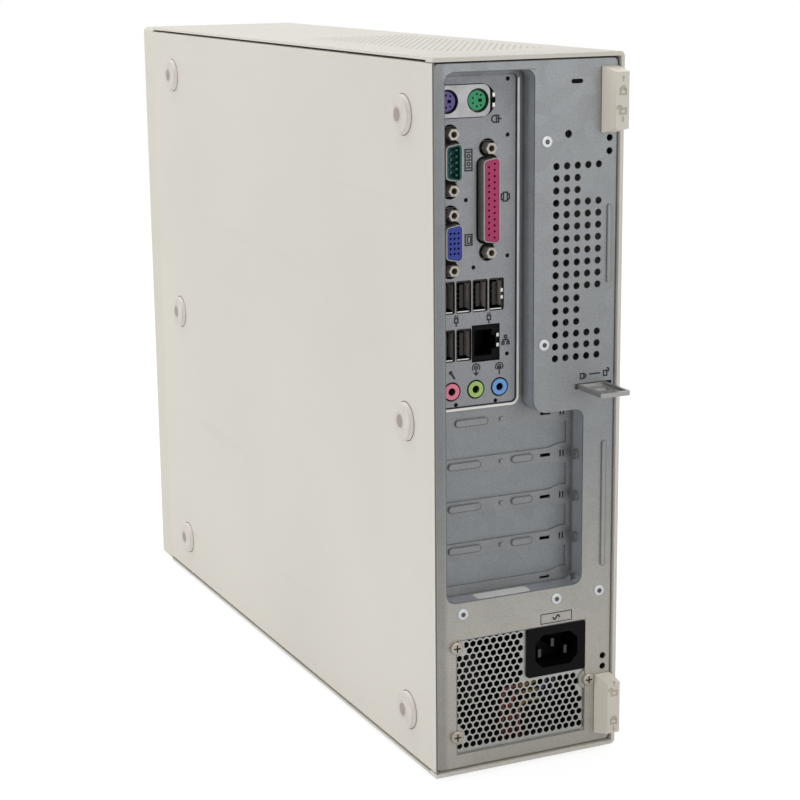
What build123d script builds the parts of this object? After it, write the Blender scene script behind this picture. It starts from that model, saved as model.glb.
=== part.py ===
from build123d import *
import os

# A slim upright desktop computer, drawn piece by piece in millimetres.
# The front faces -Y, the rear sockets face +Y and the broad side with round feet faces +X.
# The origin is the bottom centre of the overall box.

os.makedirs("parts", exist_ok=True)

# Overall body
BODY_WIDTH = 97.0
BODY_HEIGHT = 334.0
BODY_DEPTH = 381.5
BEZEL_DEPTH = 21.5

# Sheet metal and clearances
SHEET = 1.0
COVER_SHEET = 1.2
COVER_BEND = 2.5
HEM = 0.8
HEM_DEPTH = 7.0
RIM_GAP = 0.6
SEAM_GAP = 0.4
SLIDE_GAP = 0.3
FIT_GAP = 0.1
OVERRUN = 1.0
EDGE_ROUND = 0.5

# Base pan
PAN_FLANGE = 4.5
PAN_BEND = 0.8
PAN_SETBACK = 0.5
PAN_NOTCH = 2.0

# Feet
STAND_FOOT_HEIGHT = 2.0
STAND_FOOT_RADIUS = 7.0
SIDE_FOOT_HEIGHT = 2.4
SIDE_FOOT_RADIUS = 9.0
DIMPLE_RADIUS = 2.6
DIMPLE_DEPTH = 1.4
FOOT_ROUND = 0.7
SIDE_FOOT_DEPTH_SHARES = (0.08, 0.911)
SIDE_FOOT_HEIGHT_SHARES = (0.072, 0.498, 0.921)
STAND_FOOT_DEPTH_SHARES = (0.074, 0.903)
STAND_FOOT_WIDTH_SHARES = (0.095, 0.905)

# Top vent of the cover
TOP_VENT_PITCH = 6.4
TOP_VENT_RADIUS = 2.1
TOP_VENT_COLUMNS = 9
TOP_VENT_ROWS = 28
TOP_VENT_WIDTH_SHARE = 0.555
TOP_VENT_DEPTH_SHARE = 0.322

# Rear panel
PANEL_INSET = 1.4
PANEL_FLANGE = 9.0
PANEL_CORNER = 2.5
PANEL_BEND = 0.7
VENT_PITCH = 5.53
VENT_RADIUS = 1.65
VENT_ROWS = 17
VENT_SHORT_COLUMNS = 3
VENT_COLUMNS = 5
VENT_LONG_ROWS = (0, 3, 4, 5, 6, 7, 8, 9, 10, 14, 15, 16)
VENT_START_SHARES = (0.645, 0.849)
LOCK_SLOT_LENGTH = 6.0
LOCK_SLOT_HEIGHT = 2.0
LOCK_SLOT_SHARES = (0.752, 0.962)
BEAD_WIDTH = 2.4
BEAD_RISE = 0.7
HIGH_BEAD_LENGTH = 36.5
HIGH_BEAD_SHARES = (0.933, 0.739)
LOW_BEAD_SHARE = 0.92
LOW_BEAD_RISE = 7.4
LOW_BEAD_DROP = 27.0
SERVICE_HOLE_RADIUS = 1.8
SERVICE_HOLE_SHARES = (0.708, 0.892)
SMALL_HOLE_RADIUS = 1.6
SMALL_HOLE_SHARES = ((0.93, 0.884), (0.93, 0.866), (0.93, 0.138), (0.93, 0.122))

# Rivets
RIVET_HEAD_RADIUS = 2.7
RIVET_HEAD_RISE = 0.7
RIVET_SHANK_RADIUS = 1.5
RIVET_BORE_RADIUS = 0.8
RIVET_TAIL = 1.5
HIGH_RIVET_SHARES = ((0.593, 0.883), (0.584, 0.605))
LOW_RIVET_SHARES = (0.151, 0.663, 0.903)
LOW_RIVET_DROPS = (5.7, 5.6, 4.9)

# Socket recess behind the stepped opening
RECESS_DEPTH = 11.5
RECESS_LEFT = 4.4
OPENING_LEFT = 6.3
RECESS_MID = 51.4
RECESS_RIGHT = 78.1
RECESS_TOP_MARGIN = 6.6
RECESS_RISE = 84.4
RECESS_CORNER = 4.5
STEP_CORNER = 7.0
STEP_MARGIN = 6.4

# Expansion slots
SLOT_PITCH = 20.32
SLOT_HEIGHT = 13.8
SLOT_SILL = 4.4
SLOT_NECK_HEIGHT = 10.4
SLOT_NECK_START = 66.0
SLOT_NECK_END = 72.0
SLOT_END = 75.5
EMBOSS_RISE = 0.8
EMBOSS_HEIGHT = 3.6
LONG_EMBOSS = 17.0
SHORT_EMBOSS = 11.2
LONG_EMBOSS_PLACE = 21.4
SHORT_EMBOSS_PLACE = 51.6
BAR_MARK = 1.8
BAR_MARK_PLACE = 40.8
TOP_EMBOSS_SHIFT = 3.7
BAR_SLIT_LENGTH = 5.4
BAR_SLIT_HEIGHT = 1.6
BAR_SLIT_PLACE = 64.2
NICK_WIDTH = 0.8
NICK_HEIGHT = 3.4
NICK_PLACES = (72.3, 73.9)
BOSS_RADIUS = 2.4
BOSS_RISE = 1.4
BOSS_INSET = 5.0
SLOT_COVER_HEIGHT = 18.4
SLOT_COVER_SHEET = 0.9
SLOT_COVER_START = 8.0
SLOT_TAB_LENGTH = 9.0
SLOT_TAB_RISE = 4.0
SCREW_SHANK_RADIUS = 1.5
SCREW_HEAD_RADIUS = 3.0
SCREW_HEAD_RISE = 2.0
CROSS_LENGTH = 3.6
CROSS_WIDTH = 0.8
CROSS_DEPTH = 1.1

# Socket shield
SHIELD_SHEET = 0.8
SHIELD_STEP = 1.6
SHIELD_EDGE = 0.6
SHIELD_RIGHT_MARGIN = 2.7
SHIELD_LOW_MARGIN = 3.4
SHIELD_HEIGHT = 153.44
SHIELD_CORNER = 4.0
RIDGE_WIDTH = 1.3
RIDGE_RISE = 0.7
GROOVE_WIDTH = 0.6
GROOVE_DEPTH = 0.5
SHIELD_HOLE_RADIUS = 1.0
SHIELD_HOLE_SHARES = ((0.867, 0.975), (0.867, 0.813), (0.384, 0.629), (0.469, 0.4285),
                      (0.867, 0.456), (0.865, 0.159), (0.261, 0.0185), (0.728, 0.0185))
PORT_GAP = 0.4
PORT_DEPTH = 14.0
PORT_PROUD = 0.3
USB_SINK = 0.9

# Main board
STANDOFF_HEIGHT = 4.0
STANDOFF_RADIUS = 3.0
BOARD_THICKNESS = 1.6
BOARD_DEPTH = 210.0
BOARD_REAR_GAP = 2.0
BOARD_LOW_GAP = 8.0
BOARD_TOP_GAP = 10.0
BOARD_HOLE_RADIUS = 1.8
BOARD_SCREW_RISE = 2.0
BOARD_SCREW_DEPTH_SHARES = (0.12, 0.52, 0.95)
BOARD_SCREW_HEIGHT_SHARES = (0.03, 0.54)

# Keyboard and mouse sockets
PS2_ROW = 5.9
PS2_PITCH = 15.3
PS2_PLATE_HEIGHT = 14.3
PS2_PLATE_CORNER = 3.6
PS2_BORE_RADIUS = 5.4
PS2_BORE_DEPTH = 7.0
PS2_INSERT_RADIUS = 4.4
PS2_INSERT_SINK = 1.1
PS2_END_MARGIN = 6.0
PS2_CLEAR_END = 2.9
PS2_PIN_RADIUS = 0.5
PS2_PIN_DEPTH = 4.0
PS2_PIN_SHARES = ((0.0, 0.62), (0.45, 0.53), (-0.45, 0.26), (-0.45, -0.26), (0.0, -0.6), (0.45, -0.5))
PS2_KEY_SHARE = 0.36
PS2_KEY_WIDTH = 1.9
PS2_KEY_HEIGHT = 1.5
PS2_HEIGHT_SHARE = 0.916
FINGER_WIDTH = 1.5
FINGER_HEIGHT = 2.2
FINGER_PITCH = 4.6

# Serial, parallel and display sockets
LOW_ROW = 7.2
HIGH_ROW = 26.0
D_WIDTH = 8.4
D_SLOPE_SHARE = 0.176
D_CORNER = 2.2
D_SHELL = 0.5
D_PROUD = 4.6
D_OPENING_GAP = 1.4
D_FLANGE_WIDTH = 12.4
D_FLANGE_SHEET = 1.0
D_FLANGE_MARGIN = 3.0
D_INSERT_SINK = 0.2
D_BODY_GAP = 0.4
SERIAL_LENGTH = 17.6
PARALLEL_LENGTH = 39.4
VGA_LENGTH = 17.4
SMALL_JACK_PITCH = 24.99
LARGE_JACK_PITCH = 47.04
SERIAL_HEIGHT_SHARE = 0.7425
PARALLEL_HEIGHT_SHARE = 0.625
VGA_HEIGHT_SHARE = 0.508
CONTACT_RADIUS = 0.55
CONTACT_DEPTH = 3.5
D_CONTACT_PITCH = 2.77
D_CONTACT_ROW = 2.84
VGA_CONTACT_PITCH = 2.29
VGA_CONTACT_ROW = 1.98
SERIAL_CAVITY_DEPTH = 4.6
SERIAL_WALL = 0.8
SERIAL_PIN_LENGTH = 4.0
JACKSCREW_RADIUS = 2.75
JACKSCREW_LENGTH = 5.2
JACKSCREW_BORE_RADIUS = 1.42
JACKSCREW_HOLE_RADIUS = 4.2

# USB, network and audio sockets
USB_ROW = 5.6
USB_PITCH = 8.35
USB_WIDTH = 7.0
USB_HEIGHT = 14.2
USB_SHELL = 0.5
USB_CORNER = 0.6
USB_TONGUE = 1.9
USB_TONGUE_HEIGHT = 10.6
USB_TONGUE_SINK = 1.6
USB_BACK = 1.5
USB_UPPER_COUNT = 4
USB_LOWER_COUNT = 2
USB_UPPER_HEIGHT_SHARE = 0.3427
USB_LOWER_HEIGHT_SHARE = 0.1983
LAN_WIDTH = 13.6
LAN_HEIGHT = 16.4
LAN_LIFT = 18.4
LAN_CAVITY_WIDTH = 9.0
LAN_CAVITY_HEIGHT = 12.0
LAN_CAVITY_DEPTH = 12.0
LAN_CAVITY_SHIFT = 1.0
LAN_NOTCH_WIDTH = 2.0
LAN_NOTCH_HEIGHT = 6.4
AUDIO_ROW = 7.7
AUDIO_PITCH = 12.3
AUDIO_BODY_HEIGHT = 12.4
AUDIO_RING_RADIUS = 3.75
AUDIO_GAP = 0.75
AUDIO_BORE_RADIUS = 1.8
AUDIO_BORE_DEPTH = 13.0
AUDIO_HEIGHT_SHARE = 0.0598

# Latches of the cover
LATCH_LENGTH = 30.0
LATCH_WIDTH = 8.4
LATCH_RISE = 9.4
LATCH_SLOPE = 2.0
LATCH_OVERHANG = 0.7
LATCH_END_SLOPE = 2.3
LATCH_EDGE = 0.4
LATCH_TRAVEL = 8.0
LATCH_STEM_WIDTH = 3.0
LATCH_STEM_LENGTH = 9.0
LATCH_HEAD = 1.5
LATCH_HEAD_SHEET = 1.2
LATCH_HEIGHT_SHARES = (0.936, 0.0665)

# Lock tab
TAB_REACH = 21.6
TAB_WIDTH = 15.5
TAB_SHEET = 1.2
TAB_RIM = 0.9
TAB_RIM_WIDTH = 1.4
TAB_HOLE_WIDTH = 7.0
TAB_HOLE_LENGTH = 5.4
TAB_HOLE_INSET = 9.4
TAB_CORNER = 1.6
TAB_TRAVEL = 3.0
TAB_END_GAP = 1.0
TAB_HEAD = 2.6
TAB_HEAD_SIDE = 0.4
TAB_SHARE = 0.764
TAB_LIFT = 10.4

# Power supply
PSU_WIDTH = 83.6
PSU_HEIGHT = 65.0
PSU_DEPTH = 175.0
PSU_SHEET = 0.8
PSU_CORNER = 1.6
PSU_CUT_LEFT = 11.4
PSU_CUT_RIGHT = 80.5
PSU_CUT_LOW = 9.4
PSU_CUT_TOP = 66.2
PSU_CUT_CORNER = 2.0
PSU_SCREW_LAND = 4.6
PSU_SCREW_LENGTH = 6.0
PSU_SCREW_SIDES = (-0.6, -0.5, 1.2)
PSU_SCREW_RISES = (53.6, 9.5, 26.2)
MESH_PITCH = 3.6
MESH_ROW_SHARE = 0.866
MESH_RADIUS = 1.62
MESH_MARGIN = 0.8
INLET_WIDTH = 31.6
INLET_HEIGHT = 24.4
INLET_PROUD = 0.5
INLET_RIGHT = 80.2
INLET_TOP = 65.8
INLET_BODY_MARGIN = 2.0
INLET_BODY_DEPTH = 16.0
INLET_CAVITY_WIDTH = 23.0
INLET_CAVITY_HEIGHT = 16.4
INLET_CAVITY_DEPTH = 15.0
INLET_CHAMFER = 4.0
INLET_CORNER = 1.2
PIN_WIDTH = 1.6
PIN_HEIGHT = 4.0
PIN_LENGTH = 11.0
PIN_SPREAD = 7.0
PIN_RISE = 2.2
PSU_FAN_SIZE = 80.0
PSU_FAN_DEPTH = 20.0
PSU_FAN_BEHIND = 96.0
PSU_GUARD_RINGS = ((13.0, 22.0), (24.5, 36.0))
PSU_GUARD_SPOKE = 4.0
PSU_BOARD_LIFT = 6.0
PSU_BOARD_MARGIN = 4.0
PSU_POST_RADIUS = 2.5
PSU_SINK_HEIGHT = 26.0
PSU_SINK_SHEET = 3.0
PSU_SINK_LENGTH = 95.0
PSU_CORE_WIDTH = 26.0
PSU_CORE_HEIGHT = 28.0
PSU_CORE_LENGTH = 32.0
PSU_CAN_RADIUS = 9.0
PSU_CAN_HEIGHT = 27.0
LEAD_RADIUS = 1.1
LEAD_PITCH = 4.2
LEAD_BEND = 5.0
LEAD_RUN = 19.0
LEAD_BEHIND = 9.0
LEAD_COUNT = 3

# Fans
FAN_WALL = 1.6
FAN_TIP_GAP = 1.2
FAN_HUB_RADIUS = 15.0
FAN_BACK = 2.4
FAN_SPOKE = 3.0
FAN_SPOKE_COUNT = 3
FAN_RUN_GAP = 0.5
BLADE_COUNT = 7
BLADE_CHORD = 21.0
BLADE_THICKNESS = 1.4
BLADE_PITCH_ANGLE = 34.0
FAN_CORNER = 4.0

# Processor, cooler and board parts
CPU_SIZE = 37.5
CPU_RISE = 3.0
CPU_SOCKET_SIZE = 46.0
CPU_SOCKET_RISE = 4.0
CPU_DEPTH_SHARE = 0.43
CPU_HEIGHT_SHARE = 0.7
SINK_SIZE = 76.0
SINK_BASE = 6.0
SINK_HEIGHT = 32.0
FIN_COUNT = 19
FIN_SHEET = 1.0
CPU_FAN_SIZE = 80.0
CPU_FAN_DEPTH = 25.0
MEMORY_LENGTH = 133.35
MEMORY_RISE = 30.0
MEMORY_SHEET = 1.3
MEMORY_SOCKET_LENGTH = 142.0
MEMORY_SOCKET_WIDTH = 6.6
MEMORY_SOCKET_RISE = 9.0
MEMORY_SINK = 5.0
MEMORY_COUNT = 2
MEMORY_PITCH = 11.0
MEMORY_DEPTH_SHARE = 0.8
MEMORY_HEIGHT_SHARE = 0.6
CARD_SOCKET_LENGTH = 85.0
CARD_SOCKET_WIDTH = 7.4
CARD_SOCKET_RISE = 11.0
CARD_SOCKET_START = 48.0
CARD_GROOVE = 1.8
CARD_GROOVE_DEPTH = 7.5
CHIPSET_SIZE = 36.0
CHIPSET_BASE = 4.0
CHIPSET_RISE = 14.0
CHIPSET_DEPTH_SHARE = 0.72
CHIPSET_FIN_COUNT = 9
CAN_RADIUS = 4.0
CAN_RISE = 11.5
CAN_PITCH = 9.0
CAN_COUNT = 8
CAN_DEPTH_SHARE = 0.155
CAN_HEIGHT_SHARE = 0.7
POWER_SOCKET_LENGTH = 51.6
POWER_SOCKET_WIDTH = 9.8
POWER_SOCKET_RISE = 13.0
POWER_SOCKET_SHARES = (0.955, 0.86)
CELL_RADIUS = 10.0
CELL_RISE = 4.5
CELL_SHARES = (0.9, 0.12)

# Front chassis plate, drives and their brackets
FRONT_FLANGE = 3.0
DRIVE_HEIGHT = 146.0
DRIVE_WIDTH = 41.3
DRIVE_LENGTH = 172.0
DRIVE_SHEET = 1.0
DRIVE_TOP = 17.0
DRIVE_SIDE = 6.4
DRIVE_FRONT_SINK = 7.0
DRIVE_FRONT_HEIGHT = 148.0
DRIVE_FRONT_WIDTH = 42.3
DRIVE_FRONT_RECESS = 1.0
BRACKET_GAP = 0.2
BRACKET_SHEET = 1.0
BRACKET_LENGTH = 150.0
TRAY_HEIGHT = 130.0
TRAY_WIDTH = 13.0
TRAY_SHIFT = 6.0
TRAY_DOOR = 5.0
TRAY_PLATE = 6.0
TRAY_PLATE_HEIGHT = 128.0
TRAY_LENGTH = 148.0
TRAY_DISH_RADIUS = 60.5
TRAY_DISH_DEPTH = 2.6
TRAY_HUB_RADIUS = 19.0
TRAY_HUB_SLOT = 30.0
TRAY_RIM = 3.0
RUNNER_SHEET = 1.2
RUNNER_REACH = 5.0
EJECT_HEIGHT = 9.0
EJECT_WIDTH = 4.4
EJECT_LENGTH = 7.0
EJECT_SHIFT = 9.5
EJECT_RISE = 17.0
EJECT_PROUD = 0.4
EJECT_FLANGE = 1.0
DISK_HEIGHT = 101.6
DISK_WIDTH = 25.4
DISK_LENGTH = 147.0
DISK_BOARD = 1.6
DISK_SPACE_SHARE = 0.5
DISK_SIDE = 14.0
DISK_FRONT_GAP = 20.0
DISK_COVER_INSET = 4.0
DISK_COVER_RISE = 0.6
DISK_BRACKET_LENGTH = 158.0

# Front bezel and its controls
BEZEL_WALL = 2.5
BEZEL_ROUND = 5.0
BEZEL_GAP = 0.5
INTAKE_COUNT = 20
INTAKE_PITCH = 9.0
INTAKE_WIDTH = 26.0
INTAKE_HEIGHT = 4.0
INTAKE_SHARES = (0.25, 0.5)
INTAKE_WINDOW_HEIGHT = 56.0
INTAKE_WINDOW_PITCH = 64.0
INTAKE_WINDOW_COUNT = 3
CONTROL_SHARE = 0.72
BUTTON_WIDTH = 13.0
BUTTON_HEIGHT = 25.0
BUTTON_CORNER = 4.0
BUTTON_TRAVEL = 2.0
BUTTON_FLANGE = 1.2
BUTTON_SINK = 0.4
BUTTON_STEM = 4.0
BUTTON_DROP_SHARE = 0.087
LAMP_RADIUS = 2.0
LAMP_DROP_SHARE = 0.146
FRONT_BOARD_GAP = 3.0
FRONT_BOARD_WIDTH = 26.0
FRONT_BOARD_HEIGHT = 104.0
FRONT_BOARD_DROP_SHARE = 0.2
FRONT_POST_RADIUS = 2.0
SWITCH_RISE = 4.0
SWITCH_SIZE = 6.0
FRONT_USB_DROP_SHARES = (0.2, 0.25)
FRONT_AUDIO_DROP_SHARES = (0.294, 0.328)
FRONT_SOCKET_SINK = 0.3

# Reference planes worked out from the sizes above
X_BASE = (BODY_WIDTH - SIDE_FOOT_HEIGHT) / 2
X_COVER = X_BASE - BODY_WIDTH
Y_REAR = (BODY_DEPTH + BEZEL_DEPTH - TAB_REACH) / 2
Y_SEAM = Y_REAR - BODY_DEPTH
Y_FRONT = Y_SEAM - BEZEL_DEPTH
Z_LOW = STAND_FOOT_HEIGHT
Z_TOP = Z_LOW + BODY_HEIGHT
X_PANEL_LOW = X_COVER + COVER_SHEET + HEM + RIM_GAP
X_PANEL_HIGH = X_BASE - SHEET
X_PANEL_MID = (X_PANEL_LOW + X_PANEL_HIGH) / 2
PANEL_WIDTH = X_PANEL_HIGH - X_PANEL_LOW
PANEL_HEIGHT = BODY_HEIGHT - 2 * (COVER_SHEET + HEM + RIM_GAP)
Z_MID = (Z_LOW + Z_TOP) / 2
Z_PANEL_LOW = Z_MID - PANEL_HEIGHT / 2
Y_PANEL = Y_REAR - PANEL_INSET
Y_PANEL_IN = Y_PANEL - SHEET
Y_FLOOR = Y_PANEL - RECESS_DEPTH
Y_FLOOR_IN = Y_FLOOR - SHEET
X_RECESS_LEFT = X_BASE - RECESS_LEFT
X_OPENING_LEFT = X_BASE - OPENING_LEFT
X_RECESS_MID = X_BASE - RECESS_MID
X_RECESS_RIGHT = X_BASE - RECESS_RIGHT
Z_RECESS_TOP = Z_TOP - RECESS_TOP_MARGIN
Z_RECESS_LOW = Z_LOW + RECESS_RISE
X_SHIELD_LEFT = X_RECESS_LEFT - SHIELD_EDGE
X_SHIELD_RIGHT = X_RECESS_MID + SHIELD_RIGHT_MARGIN
SHIELD_WIDTH = X_SHIELD_LEFT - X_SHIELD_RIGHT
Z_SHIELD_TOP = Z_RECESS_TOP - SHIELD_EDGE
Z_SHIELD_LOW = Z_SHIELD_TOP - SHIELD_HEIGHT
Z_STEP = Z_SHIELD_LOW - SHIELD_LOW_MARGIN
SLOT_SPACE = Z_STEP - STEP_MARGIN - Z_RECESS_LOW - SLOT_SILL
SLOT_COUNT = 1 + int((SLOT_SPACE - SLOT_HEIGHT + FIT_GAP) / SLOT_PITCH)
Z_SLOTS = [Z_RECESS_LOW + SLOT_SILL + SLOT_HEIGHT / 2 + i * SLOT_PITCH for i in range(SLOT_COUNT)]
SHIELD_CENTRE = ((X_SHIELD_LEFT + X_SHIELD_RIGHT) / 2, (Z_SHIELD_LOW + Z_SHIELD_TOP) / 2)
Y_SHIELD = Y_FLOOR + SHIELD_STEP
Y_SHIELD_BACK = Y_SHIELD - SHIELD_SHEET
Y_PORT = Y_SHIELD + PORT_PROUD
Y_PORT_END = Y_PORT - PORT_DEPTH
Y_USB = Y_SHIELD - USB_SINK
X_BOARD_BACK = X_BASE - SHEET - STANDOFF_HEIGHT
X_BOARD = X_BOARD_BACK - BOARD_THICKNESS
Y_BOARD_REAR = Y_FLOOR_IN - BOARD_REAR_GAP
X_PSU_HIGH = X_PANEL_HIGH - SHEET - SLIDE_GAP
X_PSU_LOW = X_PSU_HIGH - PSU_WIDTH
Z_PSU_LOW = Z_PANEL_LOW + SHEET + SLIDE_GAP
Z_PSU_TOP = Z_PSU_LOW + PSU_HEIGHT
X_PSU_MID = (X_PSU_LOW + X_PSU_HIGH) / 2
Y_PSU_CASE = Y_PANEL_IN - PSU_SHEET
Y_PSU_END = Y_PANEL_IN - PSU_DEPTH
Y_PSU_FAN = Y_PANEL_IN - PSU_FAN_BEHIND
Z_BOARD_LOW = Z_PSU_TOP + BOARD_LOW_GAP
Z_BOARD_TOP = Z_TOP - BOARD_TOP_GAP
BOARD_HEIGHT = Z_BOARD_TOP - Z_BOARD_LOW
X_DRIVE_LOW = X_COVER + DRIVE_SIDE
X_DRIVE_HIGH = X_DRIVE_LOW + DRIVE_WIDTH
X_DRIVE_MID = (X_DRIVE_LOW + X_DRIVE_HIGH) / 2
Z_DRIVE_TOP = Z_TOP - DRIVE_TOP
Z_DRIVE_LOW = Z_DRIVE_TOP - DRIVE_HEIGHT
Z_DRIVE_MID = (Z_DRIVE_LOW + Z_DRIVE_TOP) / 2
Y_DRIVE_FRONT = Y_FRONT + DRIVE_FRONT_SINK
Y_DRIVE_END = Y_DRIVE_FRONT + DRIVE_LENGTH
X_TRAY = X_DRIVE_MID + TRAY_SHIFT
Y_TRAY_FRONT = Y_FRONT + DRIVE_FRONT_RECESS
Z_EJECT = Z_DRIVE_LOW + EJECT_RISE
X_EJECT = X_DRIVE_MID - EJECT_SHIFT
X_DISK_LOW = X_COVER + DISK_SIDE
X_DISK_HIGH = X_DISK_LOW + DISK_WIDTH
Z_DISK_LOW = Z_LOW + DISK_SPACE_SHARE * (Z_DRIVE_LOW - Z_LOW) - DISK_HEIGHT / 2
Z_DISK_TOP = Z_DISK_LOW + DISK_HEIGHT
Y_CHASSIS = Y_SEAM + SHEET
Y_DISK_FRONT = Y_CHASSIS + DISK_FRONT_GAP
Y_DISK_END = Y_DISK_FRONT + DISK_LENGTH
X_CONTROL = X_BASE - CONTROL_SHARE * BODY_WIDTH
Y_FRONT_BOARD = Y_SEAM - FRONT_BOARD_GAP - BOARD_THICKNESS
CYLINDER_TURNS = {"x": (0, 90, 0), "y": (90, 0, 0), "z": (0, 0, 0)}


# Helpers shared by the pieces


def save(piece, name):
    """Label a finished piece and write its STEP file."""
    piece.part.label = name
    export_step(piece.part, f"parts/{name}.step")


def rear_plane(y):
    """A plane across the body at one depth; its normal looks to the front."""
    return Plane.XZ.offset(-y)


def side_plane(x):
    """An upright plane along the body at one width; its normal looks to the base side."""
    return Plane.YZ.offset(x)


def block(x, y, z, mode=Mode.ADD):
    """A box between two limits on each axis."""
    with Locations(((x[0] + x[1]) / 2, (y[0] + y[1]) / 2, (z[0] + z[1]) / 2)):
        Box(abs(x[1] - x[0]), abs(y[1] - y[0]), abs(z[1] - z[0]), mode=mode)


def rod(centre, radius, length, axis, mode=Mode.ADD):
    """A cylinder about a centre, along one axis."""
    with Locations(centre):
        Cylinder(radius, length, rotation=CYLINDER_TURNS[axis], mode=mode)


def about(middle, size):
    """The two limits of a size centred on a middle."""
    return (middle - size / 2, middle + size / 2)


def panel_place(shares):
    """A place on the rear panel, from shares of the body's width and height."""
    return (X_BASE - shares[0] * BODY_WIDTH, Z_LOW + shares[1] * BODY_HEIGHT)


def shield_height(share):
    """A height on the socket shield."""
    return Z_SHIELD_LOW + share * SHIELD_HEIGHT


def board_place(depth_share, height_share):
    """A place on the main board: how far in from its rear edge, and how high."""
    return (Y_BOARD_REAR - depth_share * BOARD_DEPTH, Z_BOARD_LOW + height_share * BOARD_HEIGHT)


def front_height(share):
    """A height on the front, below the optical drive."""
    return Z_DRIVE_LOW - share * BODY_HEIGHT


def cut_rear_panel():
    """Cut the open sketch through the rear panel; the sketch lies one overrun outside it."""
    extrude(amount=SHEET + 2 * OVERRUN, mode=Mode.SUBTRACT)


def body_slab(inset, bend, reach, mode=Mode.ADD):
    """The body's outline set in all round, with its two cover corners bent, out to one X."""
    with BuildLine() as edge:
        bent = FilletPolyline(
            (reach, Z_TOP - inset),
            (X_COVER + inset, Z_TOP - inset),
            (X_COVER + inset, Z_LOW + inset),
            (reach, Z_LOW + inset),
            radius=bend,
        )
        Line(bent @ 1, bent @ 0)
    make_face(edge.edges(), mode=mode)


def flanged_panel(y_face, reach):
    """A panel inside the cover's rim with a flange all round, reaching to the front (plus) or rear (minus)."""
    sheet = SHEET if reach > 0 else -SHEET
    with BuildSketch(rear_plane(y_face)) as outer:
        with Locations((X_PANEL_MID, Z_MID)):
            RectangleRounded(PANEL_WIDTH, PANEL_HEIGHT, PANEL_CORNER)
    extrude(outer.sketch, amount=reach)
    with BuildSketch(rear_plane(y_face - sheet)) as inner:
        with Locations((X_PANEL_MID, Z_MID)):
            RectangleRounded(PANEL_WIDTH - 2 * SHEET, PANEL_HEIGHT - 2 * SHEET, PANEL_CORNER - SHEET)
    extrude(inner.sketch, amount=reach, mode=Mode.SUBTRACT)


def recess_outline(x_left):
    """The stepped outline of the socket recess, with its base side edge at one X."""
    with BuildLine() as edge:
        FilletPolyline(
            (x_left, Z_RECESS_TOP),
            (X_RECESS_MID, Z_RECESS_TOP),
            (X_RECESS_MID, Z_STEP),
            (X_RECESS_RIGHT, Z_STEP),
            (X_RECESS_RIGHT, Z_RECESS_LOW),
            (x_left, Z_RECESS_LOW),
            radius=(RECESS_CORNER, RECESS_CORNER, STEP_CORNER, RECESS_CORNER, RECESS_CORNER, RECESS_CORNER),
            close=True,
        )
    make_face(edge.edges())


def shield_outline(inset, mode=Mode.ADD):
    """The socket shield's outline, set in all round."""
    with Locations(SHIELD_CENTRE):
        width = SHIELD_WIDTH - 2 * inset
        height = SHIELD_HEIGHT - 2 * inset
        RectangleRounded(width, height, SHIELD_CORNER - inset, mode=mode)


def d_outline(centre, length, growth=0, mode=Mode.ADD):
    """A D outline about a centre, its longer side towards the cover, grown all round."""
    near = centre[0] + D_WIDTH / 2 + growth
    far = centre[0] - D_WIDTH / 2 - growth
    long_half = length / 2 + growth
    short_half = long_half - (near - far) * D_SLOPE_SHARE
    with BuildLine() as edge:
        FilletPolyline(
            (far, centre[1] + long_half),
            (near, centre[1] + short_half),
            (near, centre[1] - short_half),
            (far, centre[1] - long_half),
            radius=D_CORNER + growth,
            close=True,
        )
    make_face(edge.edges(), mode=mode)


def cross_recess(centre, axis_plane):
    """Cut a cross recess into a screw head; the plane's normal points out of the head."""
    with BuildSketch(axis_plane) as cross:
        with Locations(centre):
            Rectangle(CROSS_LENGTH, CROSS_WIDTH)
            Rectangle(CROSS_WIDTH, CROSS_LENGTH)
    extrude(cross.sketch, amount=-CROSS_DEPTH, mode=Mode.SUBTRACT)


def fan_frame_shape(plane, size, depth):
    """A square fan frame standing on a plane, its motor carrier on three spokes at the bottom."""
    with BuildSketch(plane) as ring:
        RectangleRounded(size, size, FAN_CORNER)
        Circle(size / 2 - FAN_WALL, mode=Mode.SUBTRACT)
    extrude(ring.sketch, amount=depth)
    with BuildSketch(plane) as carrier:
        Circle(FAN_HUB_RADIUS)
        with PolarLocations(size / 4, FAN_SPOKE_COUNT):
            Rectangle(size / 2 - FAN_WALL, FAN_SPOKE)
    extrude(carrier.sketch, amount=FAN_BACK)


def fan_rotor_shape(plane, size, depth):
    """A fan's hub with its raked blades, clear of the frame's bore and motor carrier."""
    height = depth - FAN_BACK - 2 * FAN_RUN_GAP
    tip = size / 2 - FAN_WALL - FAN_TIP_GAP
    with Locations(plane.offset(FAN_BACK + FAN_RUN_GAP + height / 2)):
        Cylinder(FAN_HUB_RADIUS, height)
        with PolarLocations((FAN_HUB_RADIUS + tip) / 2 - FAN_WALL, BLADE_COUNT):
            Box(tip - FAN_HUB_RADIUS, BLADE_CHORD, BLADE_THICKNESS, rotation=(BLADE_PITCH_ANGLE, 0, 0))
    with BuildSketch(plane) as beyond_tips:
        Circle(size)
        Circle(tip, mode=Mode.SUBTRACT)
    extrude(beyond_tips.sketch, amount=depth, mode=Mode.SUBTRACT)


# Base pan: the broad painted side with its folded edges and the standoffs of the main board

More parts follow.
